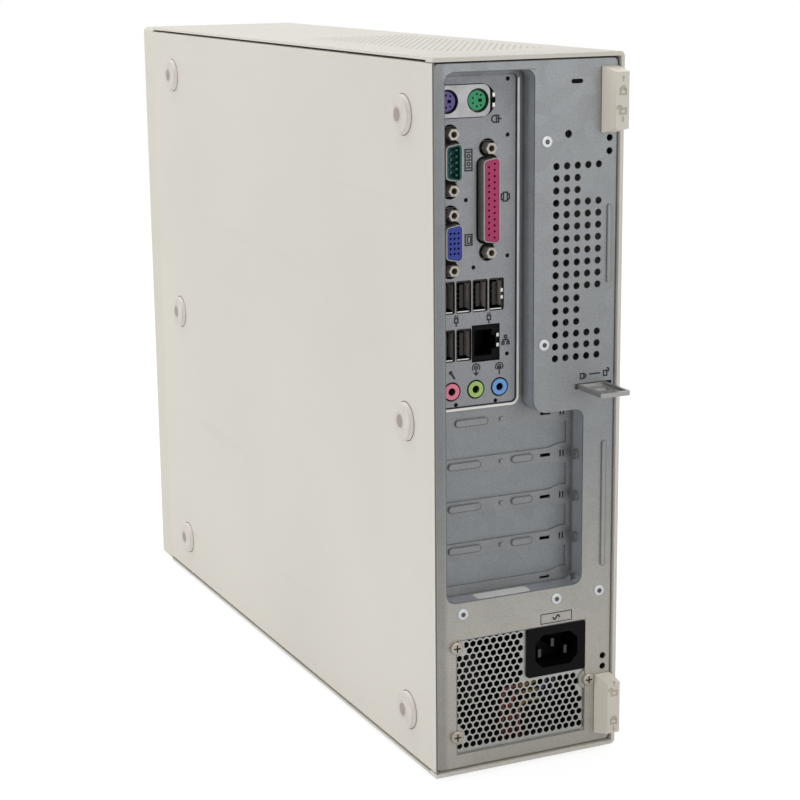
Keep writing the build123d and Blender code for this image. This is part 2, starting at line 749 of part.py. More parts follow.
Y_PAN_REAR = Y_REAR - PAN_SETBACK
PAN_INSET = COVER_SHEET + HEM + SLIDE_GAP
Z_PAN = (Z_LOW + PAN_INSET, Z_TOP - PAN_INSET)
Y_PAN_FLANGE = (Y_SEAM + FRONT_FLANGE + PAN_NOTCH, Y_PANEL - PANEL_FLANGE - PAN_NOTCH)
BOARD_SCREWS = [
    board_place(depth_share, height_share)
    for depth_share in BOARD_SCREW_DEPTH_SHARES
    for height_share in BOARD_SCREW_HEIGHT_SHARES
]
SIDE_FEET = [
    (Y_REAR - depth_share * BODY_DEPTH, Z_LOW + height_share * BODY_HEIGHT)
    for depth_share in SIDE_FOOT_DEPTH_SHARES
    for height_share in SIDE_FOOT_HEIGHT_SHARES
]

with BuildPart() as base_pan:
    block((X_BASE - SHEET, X_BASE), (Y_SEAM, Y_PAN_REAR), Z_PAN)
    for z_flange in ((Z_PAN[0], Z_PAN[0] + SHEET), (Z_PAN[1] - SHEET, Z_PAN[1])):
        block((X_BASE - PAN_FLANGE, X_BASE), Y_PAN_FLANGE, z_flange)
    fillet(base_pan.edges().filter_by(Axis.Y).group_by(Axis.X)[-1], PAN_BEND)
    for y, z in BOARD_SCREWS:
        rod((X_BOARD_BACK + STANDOFF_HEIGHT / 2, y, z), STANDOFF_RADIUS, STANDOFF_HEIGHT, "x")
        rod((X_BOARD_BACK, y, z), SCREW_SHANK_RADIUS + FIT_GAP, STANDOFF_HEIGHT, "x", Mode.SUBTRACT)
save(base_pan, "base_pan")

with BuildPart() as side_feet:
    with BuildSketch(side_plane(X_BASE)):
        with Locations(*SIDE_FEET):
            Circle(SIDE_FOOT_RADIUS)
    extrude(amount=SIDE_FOOT_HEIGHT)
    fillet(side_feet.faces().filter_by(Axis.X).group_by(Axis.X)[-1].edges(), FOOT_ROUND)
    with BuildSketch(side_plane(X_BASE + SIDE_FOOT_HEIGHT)):
        with Locations(*SIDE_FEET):
            Circle(DIMPLE_RADIUS)
    extrude(amount=-DIMPLE_DEPTH, mode=Mode.SUBTRACT)
save(side_feet, "side_feet")

# Cover: top, far side and bottom in one bent sheet, with a hemmed rear rim

TOP_VENT_ROW = TOP_VENT_PITCH * MESH_ROW_SHARE
TOP_VENT_CENTRE = (X_BASE - TOP_VENT_WIDTH_SHARE * BODY_WIDTH, Y_REAR - TOP_VENT_DEPTH_SHARE * BODY_DEPTH)

with BuildPart() as cover:
    with BuildSketch(rear_plane(Y_REAR)):
        body_slab(0, COVER_BEND, X_BASE)
        body_slab(COVER_SHEET, COVER_BEND - COVER_SHEET, X_BASE + OVERRUN, Mode.SUBTRACT)
    extrude(amount=BODY_DEPTH - SEAM_GAP)
    with BuildSketch(rear_plane(Y_REAR)):
        body_slab(COVER_SHEET / 2, COVER_BEND - COVER_SHEET / 2, X_BASE)
        body_slab(COVER_SHEET + HEM, HEM, X_BASE + OVERRUN, Mode.SUBTRACT)
    extrude(amount=HEM_DEPTH)
    fillet(cover.faces().sort_by(Axis.Y)[-1].outer_wire().edges(), EDGE_ROUND)
    with BuildSketch(Plane.XY.offset(Z_TOP + OVERRUN)):
        for step in (-1, 1):
            x = TOP_VENT_CENTRE[0] + step * TOP_VENT_PITCH / 4
            y = TOP_VENT_CENTRE[1] + step * TOP_VENT_ROW / 2
            with Locations((x, y)):
                with GridLocations(TOP_VENT_PITCH, 2 * TOP_VENT_ROW, TOP_VENT_COLUMNS, TOP_VENT_ROWS // 2):
                    Circle(TOP_VENT_RADIUS)
    extrude(amount=-COVER_SHEET - 2 * OVERRUN, mode=Mode.SUBTRACT)
save(cover, "cover")

with BuildPart() as standing_feet:
    with BuildSketch(Plane.XY.offset(Z_LOW)):
        for depth_share in STAND_FOOT_DEPTH_SHARES:
            for width_share in STAND_FOOT_WIDTH_SHARES:
                with Locations((X_BASE - width_share * BODY_WIDTH, Y_REAR - depth_share * BODY_DEPTH)):
                    Circle(STAND_FOOT_RADIUS)
    extrude(amount=-STAND_FOOT_HEIGHT)
    fillet(standing_feet.faces().filter_by(Axis.Z).group_by(Axis.Z)[0].edges(), FOOT_ROUND)
save(standing_feet, "standing_feet")

# Rear panel with its stepped opening, vents, beads and slots

VENT_START = panel_place(VENT_START_SHARES)
LATCH_X = (X_PANEL_LOW + LATCH_EDGE, X_PANEL_LOW + LATCH_EDGE + LATCH_WIDTH)
LATCH_MID = (LATCH_X[0] + LATCH_X[1]) / 2
LATCH_HEIGHTS = [Z_LOW + share * BODY_HEIGHT for share in LATCH_HEIGHT_SHARES]
LATCH_TURNS = (-1, 1)
TAB_HIGH, TAB_LEVEL = X_BASE - TAB_SHARE * BODY_WIDTH, Z_STEP + TAB_LIFT
TAB_LOW = TAB_HIGH - TAB_WIDTH
TAB_SLOT_X = (TAB_LOW - TAB_TRAVEL - SLIDE_GAP, TAB_HIGH + TAB_END_GAP)
TAB_SLOT_Z = (TAB_LEVEL - TAB_SHEET / 2 - SLIDE_GAP, TAB_LEVEL + TAB_SHEET / 2 + TAB_RIM + SLIDE_GAP)
PSU_CUT_X = (X_BASE - PSU_CUT_RIGHT, X_BASE - PSU_CUT_LEFT)
PSU_CUT_Z = (Z_LOW + PSU_CUT_LOW, Z_LOW + PSU_CUT_TOP)
PSU_SCREW_EDGES = (PSU_CUT_X[1], PSU_CUT_X[1], PSU_CUT_X[0])
PSU_SCREWS = [
    (edge - side, PSU_CUT_Z[0] + rise)
    for edge, side, rise in zip(PSU_SCREW_EDGES, PSU_SCREW_SIDES, PSU_SCREW_RISES)
]
LOW_BEAD_Z = (Z_RECESS_LOW + LOW_BEAD_RISE, TAB_LEVEL - LOW_BEAD_DROP)
RIVETS = [panel_place(shares) for shares in HIGH_RIVET_SHARES]
RIVETS += [
    (X_BASE - share * BODY_WIDTH, Z_RECESS_LOW - drop)
    for share, drop in zip(LOW_RIVET_SHARES, LOW_RIVET_DROPS)
]

with BuildPart() as rear_panel:
    flanged_panel(Y_PANEL, PANEL_FLANGE)
    fillet(rear_panel.faces().sort_by(Axis.Y)[-1].outer_wire().edges(), PANEL_BEND)
    with BuildSketch(rear_plane(Y_PANEL + BEAD_RISE)):
        with Locations(panel_place(HIGH_BEAD_SHARES)):
            SlotOverall(HIGH_BEAD_LENGTH, BEAD_WIDTH, rotation=90)
        with Locations((X_BASE - LOW_BEAD_SHARE * BODY_WIDTH, (LOW_BEAD_Z[0] + LOW_BEAD_Z[1]) / 2)):
            SlotOverall(LOW_BEAD_Z[1] - LOW_BEAD_Z[0], BEAD_WIDTH, rotation=90)
    extrude(amount=BEAD_RISE)
    with BuildSketch(rear_plane(Y_PANEL + OVERRUN)):
        recess_outline(X_OPENING_LEFT)
    cut_rear_panel()
    with BuildSketch(rear_plane(Y_PANEL + OVERRUN)):
        with Locations(((PSU_CUT_X[0] + PSU_CUT_X[1]) / 2, (PSU_CUT_Z[0] + PSU_CUT_Z[1]) / 2)):
            RectangleRounded(PSU_CUT_X[1] - PSU_CUT_X[0], PSU_CUT_Z[1] - PSU_CUT_Z[0], PSU_CUT_CORNER)
        with Locations(*PSU_SCREWS):
            Circle(PSU_SCREW_LAND, mode=Mode.SUBTRACT)
            Circle(SCREW_SHANK_RADIUS + FIT_GAP)
    cut_rear_panel()
    with BuildSketch(rear_plane(Y_PANEL + OVERRUN)):
        for row in range(VENT_ROWS):
            columns = VENT_COLUMNS if row in VENT_LONG_ROWS else VENT_SHORT_COLUMNS
            for column in range(columns):
                with Locations((VENT_START[0] - column * VENT_PITCH, VENT_START[1] - row * VENT_PITCH)):
                    Circle(VENT_RADIUS)
    cut_rear_panel()
    with BuildSketch(rear_plane(Y_PANEL + OVERRUN)):
        with Locations(panel_place(LOCK_SLOT_SHARES)):
            SlotOverall(LOCK_SLOT_LENGTH, LOCK_SLOT_HEIGHT)
        with Locations(panel_place(SERVICE_HOLE_SHARES)):
            Circle(SERVICE_HOLE_RADIUS)
        with Locations(*[panel_place(shares) for shares in SMALL_HOLE_SHARES]):
            Circle(SMALL_HOLE_RADIUS)
        with Locations(*RIVETS):
            Circle(RIVET_SHANK_RADIUS + FIT_GAP)
    cut_rear_panel()
    block(TAB_SLOT_X, (Y_PANEL_IN - OVERRUN, Y_PANEL + OVERRUN), TAB_SLOT_Z, Mode.SUBTRACT)
    for height, turn in zip(LATCH_HEIGHTS, LATCH_TURNS):
        half = LATCH_STEM_LENGTH / 2 + SLIDE_GAP
        block(
            about(LATCH_MID, LATCH_STEM_WIDTH + 2 * SLIDE_GAP),
            (Y_PANEL_IN - OVERRUN, Y_PANEL + OVERRUN),
            (height - turn * half, height + turn * (half + LATCH_TRAVEL)),
            Mode.SUBTRACT,
        )
save(rear_panel, "rear_panel")

with BuildPart() as panel_rivets:
    for x, z in RIVETS:
        rod((x, Y_PANEL + RIVET_HEAD_RISE / 2, z), RIVET_HEAD_RADIUS, RIVET_HEAD_RISE, "y")
        shank = RIVET_HEAD_RISE + SHEET + RIVET_TAIL
        rod((x, Y_PANEL + RIVET_HEAD_RISE - shank / 2, z), RIVET_SHANK_RADIUS, shank, "y")
    fillet(panel_rivets.faces().filter_by(Axis.Y).group_by(Axis.Y)[-1].edges(), EDGE_ROUND)
    for x, z in RIVETS:
        rod((x, Y_PANEL, z), RIVET_BORE_RADIUS, 2 * SHEET + 2 * OVERRUN, "y", Mode.SUBTRACT)
save(panel_rivets, "panel_rivets")

# Cover latches: a wedge-sided grip outside, a stem through the panel and a head inside

for name, height in zip(("upper_latch", "lower_latch"), LATCH_HEIGHTS):
    with BuildPart() as latch:
        y_seat = Y_PANEL + SLIDE_GAP
        y_crown = Y_PANEL + LATCH_RISE
        with BuildSketch(rear_plane(y_crown)):
            with Locations((LATCH_MID - (LATCH_SLOPE + LATCH_OVERHANG) / 2, height)):
                Rectangle(LATCH_WIDTH - LATCH_SLOPE + LATCH_OVERHANG, LATCH_LENGTH - 2 * LATCH_END_SLOPE)
        with BuildSketch(rear_plane(y_seat)):
            with Locations((LATCH_MID, height)):
                Rectangle(LATCH_WIDTH, LATCH_LENGTH)
        loft()
        fillet(latch.faces().sort_by(Axis.Y)[-1].edges(), EDGE_ROUND)
        y_head = (Y_PANEL_IN - SLIDE_GAP - LATCH_HEAD_SHEET, Y_PANEL_IN - SLIDE_GAP)
        block(about(LATCH_MID, LATCH_STEM_WIDTH), (y_head[0], y_seat), about(height, LATCH_STEM_LENGTH))
        block(
            about(LATCH_MID, LATCH_STEM_WIDTH + 2 * LATCH_HEAD),
            y_head,
            about(height, LATCH_STEM_LENGTH + 2 * LATCH_HEAD),
        )
    save(latch, name)

# Lock tab: a rimmed tongue for a padlock, sliding in its slot

Y_TAB_TIP = Y_REAR + TAB_REACH

with BuildPart() as lock_tab:
    y_head = (Y_PANEL_IN - SLIDE_GAP - TAB_SHEET, Y_PANEL_IN - SLIDE_GAP)
    with BuildSketch(Plane.XY.offset(TAB_LEVEL - TAB_SHEET / 2)):
        with Locations(((TAB_LOW + TAB_HIGH) / 2, (y_head[0] + Y_TAB_TIP) / 2)):
            Rectangle(TAB_WIDTH, Y_TAB_TIP - y_head[0])
    extrude(amount=TAB_SHEET + TAB_RIM)
    fillet(lock_tab.edges().filter_by(Axis.Z).group_by(Axis.Y)[-1], TAB_CORNER)
    block(
        (TAB_LOW + TAB_RIM_WIDTH, TAB_HIGH - TAB_RIM_WIDTH),
        (Y_PANEL + TAB_RIM_WIDTH, Y_TAB_TIP - TAB_RIM_WIDTH),
        (TAB_LEVEL + TAB_SHEET / 2, TAB_LEVEL + TAB_SHEET + TAB_RIM),
        Mode.SUBTRACT,
    )
    block(
        about((TAB_LOW + TAB_HIGH) / 2, TAB_HOLE_WIDTH),
        (Y_TAB_TIP - TAB_HOLE_INSET - TAB_HOLE_LENGTH, Y_TAB_TIP - TAB_HOLE_INSET),
        about(TAB_LEVEL, 2 * TAB_SHEET),
        Mode.SUBTRACT,
    )
    block(
        (TAB_LOW - TAB_HEAD_SIDE, TAB_HIGH + TAB_HEAD),
        y_head,
        (TAB_SLOT_Z[0] - TAB_HEAD, TAB_SLOT_Z[1] + TAB_HEAD),
    )
save(lock_tab, "lock_tab")

# Recess: walls round the stepped opening and a floor with the slots

Z_BARS = [z - SLOT_PITCH / 2 for z in Z_SLOTS]
BAR_MARKS_Z = Z_BARS[1:]
Z_TOP_BAR = Z_SLOTS[-1] + SLOT_PITCH / 2
Y_BOSS = Y_FLOOR + BOSS_INSET

with BuildPart() as port_recess:
    with BuildSketch(rear_plane(Y_PANEL_IN)):
        recess_outline(X_RECESS_LEFT)
        offset(amount=SHEET)
    extrude(amount=Y_PANEL_IN - Y_FLOOR_IN)
    with BuildSketch(rear_plane(Y_PANEL_IN + OVERRUN)):
        recess_outline(X_RECESS_LEFT)
    extrude(amount=Y_PANEL_IN + OVERRUN - Y_FLOOR, mode=Mode.SUBTRACT)
    with BuildSketch(rear_plane(Y_FLOOR + EMBOSS_RISE)):
        for z in BAR_MARKS_Z:
            with Locations((X_BASE - LONG_EMBOSS_PLACE, z)):
                SlotOverall(LONG_EMBOSS, EMBOSS_HEIGHT)
            with Locations((X_BASE - SHORT_EMBOSS_PLACE, z)):
                SlotOverall(SHORT_EMBOSS, EMBOSS_HEIGHT)
            with Locations((X_BASE - BAR_MARK_PLACE, z)):
                Rectangle(BAR_MARK, BAR_MARK)
        with Locations((X_BASE - LONG_EMBOSS_PLACE - TOP_EMBOSS_SHIFT, Z_TOP_BAR)):
            SlotOverall(LONG_EMBOSS, EMBOSS_HEIGHT)
        with Locations((X_BASE - BAR_MARK_PLACE, Z_TOP_BAR)):
            Rectangle(BAR_MARK, BAR_MARK)
    extrude(amount=EMBOSS_RISE)
    with BuildSketch(rear_plane(Y_FLOOR + OVERRUN)):
        shield_outline(SHIELD_EDGE)
        for z in Z_SLOTS:
            with BuildLine():
                Polyline(
                    (X_RECESS_LEFT - SHEET, z + SLOT_HEIGHT / 2),
                    (X_BASE - SLOT_NECK_START, z + SLOT_HEIGHT / 2),
                    (X_BASE - SLOT_NECK_END, z + SLOT_NECK_HEIGHT / 2),
                    (X_BASE - SLOT_END, z + SLOT_NECK_HEIGHT / 2),
                    (X_BASE - SLOT_END, z - SLOT_NECK_HEIGHT / 2),
                    (X_BASE - SLOT_NECK_END, z - SLOT_NECK_HEIGHT / 2),
                    (X_BASE - SLOT_NECK_START, z - SLOT_HEIGHT / 2),
                    (X_RECESS_LEFT - SHEET, z - SLOT_HEIGHT / 2),
                    close=True,
                )
            make_face()
        for z in (Z_RECESS_LOW + SLOT_SILL / 2, *BAR_MARKS_Z, Z_TOP_BAR):
            with Locations((X_BASE - BAR_SLIT_PLACE, z)):
                Rectangle(BAR_SLIT_LENGTH, BAR_SLIT_HEIGHT)
        for z in (*BAR_MARKS_Z, Z_TOP_BAR):
            with Locations(*[(X_BASE - place, z) for place in NICK_PLACES]):
                Rectangle(NICK_WIDTH, NICK_HEIGHT)
    extrude(amount=SHEET + 2 * OVERRUN, mode=Mode.SUBTRACT)
    for z in Z_BARS:
        rod((X_RECESS_RIGHT + BOSS_RISE / 2, Y_BOSS, z), BOSS_RADIUS, BOSS_RISE, "x")
        rod((X_RECESS_RIGHT, Y_BOSS, z), SCREW_SHANK_RADIUS + FIT_GAP, 4 * BOSS_RISE, "x", Mode.SUBTRACT)
save(port_recess, "port_recess")

# Blank slot covers behind the floor, each with a tab on the recess wall and a screw

X_TAB_WALL = X_RECESS_RIGHT - SHEET
X_TAB_FACE = X_TAB_WALL - SLOT_COVER_SHEET

Y_SLOT_COVER = Y_FLOOR_IN - SLOT_COVER_SHEET
Y_TAB_END = Y_FLOOR_IN + SLOT_TAB_LENGTH

with BuildPart() as slot_covers:
    for z in Z_SLOTS:
        z_boss = z - SLOT_PITCH / 2
        z_plate = about(z, SLOT_COVER_HEIGHT)
        block((X_TAB_FACE, X_BASE - SLOT_COVER_START), (Y_SLOT_COVER, Y_FLOOR_IN), z_plate)
        block((X_TAB_FACE, X_TAB_WALL), (Y_SLOT_COVER, Y_TAB_END), (z_plate[0], z + SLOT_TAB_RISE))
        z_tab = (z_boss - SCREW_HEAD_RADIUS, z)
        block((X_TAB_FACE, X_TAB_WALL), (Y_FLOOR_IN + SLIDE_GAP, Y_TAB_END), z_tab)
        rod((X_TAB_WALL, Y_BOSS, z_boss), SCREW_SHANK_RADIUS + FIT_GAP, 4 * SHEET, "x", Mode.SUBTRACT)
save(slot_covers, "slot_covers")

# Screws seen from the rear: three of the power supply and one for each slot cover

with BuildPart() as rear_screws:
    for x, z in PSU_SCREWS:
        rod((x, Y_PANEL + SCREW_HEAD_RISE / 2, z), SCREW_HEAD_RADIUS, SCREW_HEAD_RISE, "y")
        rod((x, Y_PANEL - PSU_SCREW_LENGTH / 2, z), SCREW_SHANK_RADIUS, PSU_SCREW_LENGTH, "y")
    fillet(rear_screws.faces().filter_by(Axis.Y).group_by(Axis.Y)[-1].edges(), EDGE_ROUND)
    for x, z in PSU_SCREWS:
        cross_recess((x, z), rear_plane(Y_PANEL + SCREW_HEAD_RISE - CROSS_DEPTH))
    shank = SLOT_COVER_SHEET + SHEET + BOSS_RISE
    for z in Z_BARS:
        rod((X_TAB_FACE + shank / 2, Y_BOSS, z), SCREW_SHANK_RADIUS, shank, "x")
        rod((X_TAB_FACE - SCREW_HEAD_RISE / 2, Y_BOSS, z), SCREW_HEAD_RADIUS, SCREW_HEAD_RISE, "x")
    for z in Z_BARS:
        cross_recess((Y_BOSS, z), side_plane(X_TAB_FACE - SCREW_HEAD_RISE + CROSS_DEPTH))
save(rear_screws, "rear_screws")

# Places of the sockets, counted from the main board's face

PS2_Z = shield_height(PS2_HEIGHT_SHARE)
PS2_SOCKETS = [(X_BOARD - PS2_ROW - i * PS2_PITCH, PS2_Z) for i in range(2)]
PS2_X = (PS2_SOCKETS[1][0] - PS2_END_MARGIN, X_SHIELD_LEFT - RIDGE_WIDTH - 2 * FIT_GAP)
SERIAL = (X_BOARD - LOW_ROW, shield_height(SERIAL_HEIGHT_SHARE))
VGA = (X_BOARD - LOW_ROW, shield_height(VGA_HEIGHT_SHARE))
PARALLEL = (X_BOARD - HIGH_ROW, shield_height(PARALLEL_HEIGHT_SHARE))
D_SOCKETS = (
    (SERIAL, SERIAL_LENGTH, SMALL_JACK_PITCH),
    (VGA, VGA_LENGTH, SMALL_JACK_PITCH),
    (PARALLEL, PARALLEL_LENGTH, LARGE_JACK_PITCH),
)
JACKSCREWS = [
    (centre[0], centre[1] + side * pitch / 2) for centre, _, pitch in D_SOCKETS for side in (-1, 1)
]
USB_UPPER_Z = shield_height(USB_UPPER_HEIGHT_SHARE)
USB_LOWER_Z = shield_height(USB_LOWER_HEIGHT_SHARE)
USB_UPPER = [(X_BOARD - USB_ROW - i * USB_PITCH, USB_UPPER_Z) for i in range(USB_UPPER_COUNT)]
USB_LOWER = [(X_BOARD - USB_ROW - i * USB_PITCH, USB_LOWER_Z) for i in range(USB_LOWER_COUNT)]
LAN = (X_BOARD - LAN_LIFT - LAN_WIDTH / 2, USB_LOWER_Z)
AUDIO = [(X_BOARD - AUDIO_ROW - i * AUDIO_PITCH, shield_height(AUDIO_HEIGHT_SHARE)) for i in range(3)]

# Socket shield: a pressed plate with a ridge round it, pierced for every socket

with BuildPart() as io_shield:
    with BuildSketch(rear_plane(Y_SHIELD)):
        shield_outline(0)
    extrude(amount=SHIELD_SHEET)
    with BuildSketch(rear_plane(Y_SHIELD + RIDGE_RISE)):
        shield_outline(0)
        shield_outline(RIDGE_WIDTH, Mode.SUBTRACT)
    extrude(amount=RIDGE_RISE + SHIELD_STEP)
    with BuildSketch(rear_plane(Y_SHIELD)):
        shield_outline(RIDGE_WIDTH)
        shield_outline(RIDGE_WIDTH + GROOVE_WIDTH, Mode.SUBTRACT)
    extrude(amount=GROOVE_DEPTH, mode=Mode.SUBTRACT)
    with BuildSketch(rear_plane(Y_SHIELD + OVERRUN)):
        hole_x = (PS2_X[0] - PS2_CLEAR_END, X_SHIELD_LEFT - RIDGE_WIDTH)
        with Locations(((hole_x[0] + hole_x[1]) / 2, PS2_Z)):
            SlotOverall(hole_x[1] - hole_x[0], PS2_PLATE_HEIGHT + 2 * PORT_GAP)
            with Locations(((hole_x[1] - hole_x[0]) / 4, 0)):
                Rectangle((hole_x[1] - hole_x[0]) / 2, PS2_PLATE_HEIGHT + 2 * PORT_GAP)
        for centre, length, _ in D_SOCKETS:
            d_outline(centre, length, D_OPENING_GAP)
        with Locations(*JACKSCREWS):
            Circle(JACKSCREW_HOLE_RADIUS)
        with Locations(*USB_UPPER, *USB_LOWER):
            RectangleRounded(USB_WIDTH + 2 * PORT_GAP, USB_HEIGHT + 2 * PORT_GAP, USB_CORNER + PORT_GAP)
        with Locations(LAN):
            Rectangle(LAN_WIDTH + 2 * PORT_GAP, LAN_HEIGHT + 2 * PORT_GAP)
        with Locations(*AUDIO):
            Circle(AUDIO_RING_RADIUS + AUDIO_GAP)
        for width_share, height_share in SHIELD_HOLE_SHARES:
            with Locations((X_SHIELD_LEFT - width_share * SHIELD_WIDTH, shield_height(height_share))):
                Circle(SHIELD_HOLE_RADIUS)
    extrude(amount=SHIELD_SHEET + 2 * OVERRUN, mode=Mode.SUBTRACT)
    for side in (-1, 1):
        block(
            (PS2_X[0] - PS2_CLEAR_END - SHIELD_SHEET, PS2_X[0] - PS2_CLEAR_END + FINGER_WIDTH),
            (Y_SHIELD_BACK, Y_SHIELD),
            about(PS2_Z + side * FINGER_PITCH / 2, FINGER_HEIGHT),
        )
save(io_shield, "io_shield")

# Keyboard and mouse sockets

with BuildPart() as ps2_shell:
    with BuildSketch(rear_plane(Y_PORT)):
        with Locations(((PS2_X[0] + PS2_X[1]) / 2, PS2_Z)):
            RectangleRounded(PS2_X[1] - PS2_X[0], PS2_PLATE_HEIGHT, PS2_PLATE_CORNER)
    extrude(amount=Y_PORT - Y_FLOOR_IN)
    block((PS2_X[0], X_BOARD), (Y_PORT_END, Y_FLOOR_IN), about(PS2_Z, PS2_PLATE_HEIGHT))
    with BuildSketch(rear_plane(Y_PORT)):
        with Locations(*PS2_SOCKETS):
            Circle(PS2_BORE_RADIUS)
    extrude(amount=PS2_BORE_DEPTH, mode=Mode.SUBTRACT)
save(ps2_shell, "ps2_shell")

for name, (x, z) in zip(("keyboard_socket", "mouse_socket"), PS2_SOCKETS):
    y_face = Y_PORT - PS2_INSERT_SINK
    with BuildPart() as ps2_insert:
        with BuildSketch(rear_plane(y_face)):
            with Locations((x, z)):
                Circle(PS2_INSERT_RADIUS)
        extrude(amount=PS2_BORE_DEPTH - PS2_INSERT_SINK)
        with BuildSketch(rear_plane(y_face)):
            for across_share, up_share in PS2_PIN_SHARES:
                with Locations((x - across_share * PS2_INSERT_RADIUS, z + up_share * PS2_INSERT_RADIUS)):
                    Circle(PS2_PIN_RADIUS)
            with Locations((x - PS2_KEY_SHARE * PS2_INSERT_RADIUS, z)):
                Rectangle(PS2_KEY_WIDTH, PS2_KEY_HEIGHT)
        extrude(amount=PS2_PIN_DEPTH, mode=Mode.SUBTRACT)
    save(ps2_insert, name)

# Serial, display and parallel sockets: plated shells on flanges, each with a moulded insert

Y_D_FRONT = Y_SHIELD + D_PROUD
Y_D_FLANGE = Y_SHIELD_BACK - FIT_GAP
Y_D_BACK = Y_D_FLANGE - D_FLANGE_SHEET
Y_INSERT_FRONT = Y_D_FRONT - D_INSERT_SINK
X_LOW_BODY = X_BOARD - 2 * LOW_ROW + D_BODY_GAP

with BuildPart() as d_sub_shells:
    for centre, length, pitch in D_SOCKETS:
        with BuildSketch(rear_plane(Y_D_FLANGE)):
            with Locations(centre):
                Rectangle(D_FLANGE_WIDTH, pitch + 2 * D_FLANGE_MARGIN)
        extrude(amount=D_FLANGE_SHEET)
        with BuildSketch(rear_plane(Y_D_FRONT)):
            d_outline(centre, length)
        extrude(amount=Y_D_FRONT - Y_D_FLANGE)
        with BuildSketch(rear_plane(Y_D_FRONT + OVERRUN)):
            d_outline(centre, length, -D_SHELL)
        extrude(amount=Y_D_FRONT - Y_D_BACK + 2 * OVERRUN, mode=Mode.SUBTRACT)
save(d_sub_shells, "d_sub_shells")


def d_insert(centre, length, pitch, body):
    """The moulded part of a D socket: a tongue in the shell and a body behind its flange."""
    with BuildSketch(rear_plane(Y_INSERT_FRONT)) as tongue:
        d_outline(centre, length, -D_SHELL - FIT_GAP)
    extrude(tongue.sketch, amount=Y_INSERT_FRONT - Y_D_BACK)
    block(body, (Y_PORT_END, Y_D_BACK), about(centre[1], pitch))


def contact_rows(centre, rows, row_gap, pitch):
    """Contact circles of a D socket, row by row from the cover side."""
    for row, count in enumerate(rows):
        x = centre[0] - (len(rows) - 1) * row_gap / 2 + row * row_gap
        with Locations((x, centre[1])):
            with GridLocations(pitch, pitch, 1, count):
                Circle(CONTACT_RADIUS)


with BuildPart() as serial_insert:
    d_insert(SERIAL, SERIAL_LENGTH, SMALL_JACK_PITCH, (X_LOW_BODY, X_BOARD))
    with BuildSketch(rear_plane(Y_INSERT_FRONT)):
        d_outline(SERIAL, SERIAL_LENGTH, -D_SHELL - SERIAL_WALL)
    extrude(amount=SERIAL_CAVITY_DEPTH, mode=Mode.SUBTRACT)
    with BuildSketch(rear_plane(Y_INSERT_FRONT - SERIAL_CAVITY_DEPTH + SERIAL_PIN_LENGTH)):
        contact_rows(SERIAL, (5, 4), D_CONTACT_ROW, D_CONTACT_PITCH)
    extrude(amount=SERIAL_PIN_LENGTH)
save(serial_insert, "serial_insert")

with BuildPart() as vga_insert:
    d_insert(VGA, VGA_LENGTH, SMALL_JACK_PITCH, (X_LOW_BODY, X_BOARD))
    with BuildSketch(rear_plane(Y_INSERT_FRONT)):
        contact_rows(VGA, (5, 5, 5), VGA_CONTACT_ROW, VGA_CONTACT_PITCH)
    extrude(amount=CONTACT_DEPTH, mode=Mode.SUBTRACT)
save(vga_insert, "vga_insert")

with BuildPart() as parallel_insert:
    d_insert(
        PARALLEL,
        PARALLEL_LENGTH,
        LARGE_JACK_PITCH,
        (PARALLEL[0] - D_FLANGE_WIDTH / 2, X_LOW_BODY - FIT_GAP),
    )
    with BuildSketch(rear_plane(Y_INSERT_FRONT)):
        contact_rows(PARALLEL, (13, 12), D_CONTACT_ROW, D_CONTACT_PITCH)
    extrude(amount=CONTACT_DEPTH, mode=Mode.SUBTRACT)
save(parallel_insert, "parallel_insert")

with BuildPart() as port_jackscrews:
    with BuildSketch(rear_plane(Y_D_FLANGE + JACKSCREW_LENGTH)):
        with Locations(*JACKSCREWS):
            RegularPolygon(JACKSCREW_RADIUS, 6)
            Circle(JACKSCREW_BORE_RADIUS, mode=Mode.SUBTRACT)
    extrude(amount=JACKSCREW_LENGTH)
save(port_jackscrews, "port_jackscrews")

# USB sockets: plated shells on a shared back, with a tongue in each

with BuildPart() as usb_shells:
    with BuildSketch(rear_plane(Y_USB)):
        with Locations(*USB_UPPER, *USB_LOWER):
            RectangleRounded(USB_WIDTH, USB_HEIGHT, USB_CORNER)
            Rectangle(USB_WIDTH - 2 * USB_SHELL, USB_HEIGHT - 2 * USB_SHELL, mode=Mode.SUBTRACT)
    extrude(amount=Y_USB - Y_PORT_END)
    for sockets in (USB_UPPER, USB_LOWER):
        far = sockets[-1][0] - USB_WIDTH / 2
        block((far, X_BOARD), (Y_PORT_END - USB_BACK, Y_PORT_END), about(sockets[0][1], USB_HEIGHT))
save(usb_shells, "usb_shells")

with BuildPart() as usb_tongues:
    for x, z in (*USB_UPPER, *USB_LOWER):
        block(about(x, USB_TONGUE), (Y_PORT_END, Y_USB - USB_TONGUE_SINK), about(z, USB_TONGUE_HEIGHT))
save(usb_tongues, "usb_tongues")

with BuildPart() as lan_socket:
    block(about(LAN[0], LAN_WIDTH), (Y_PORT_END - USB_BACK, Y_USB), about(LAN[1], LAN_HEIGHT))
    cavity_x = about(LAN[0] + LAN_CAVITY_SHIFT, LAN_CAVITY_WIDTH)
    y_cavity = (Y_USB - LAN_CAVITY_DEPTH, Y_USB + OVERRUN)
    block(cavity_x, y_cavity, about(LAN[1], LAN_CAVITY_HEIGHT), Mode.SUBTRACT)
    notch_x = (cavity_x[0] - LAN_NOTCH_WIDTH, cavity_x[0] + OVERRUN)
    block(notch_x, y_cavity, about(LAN[1], LAN_NOTCH_HEIGHT), Mode.SUBTRACT)
save(lan_socket, "lan_socket")

# Audio jacks, stacked up from the board

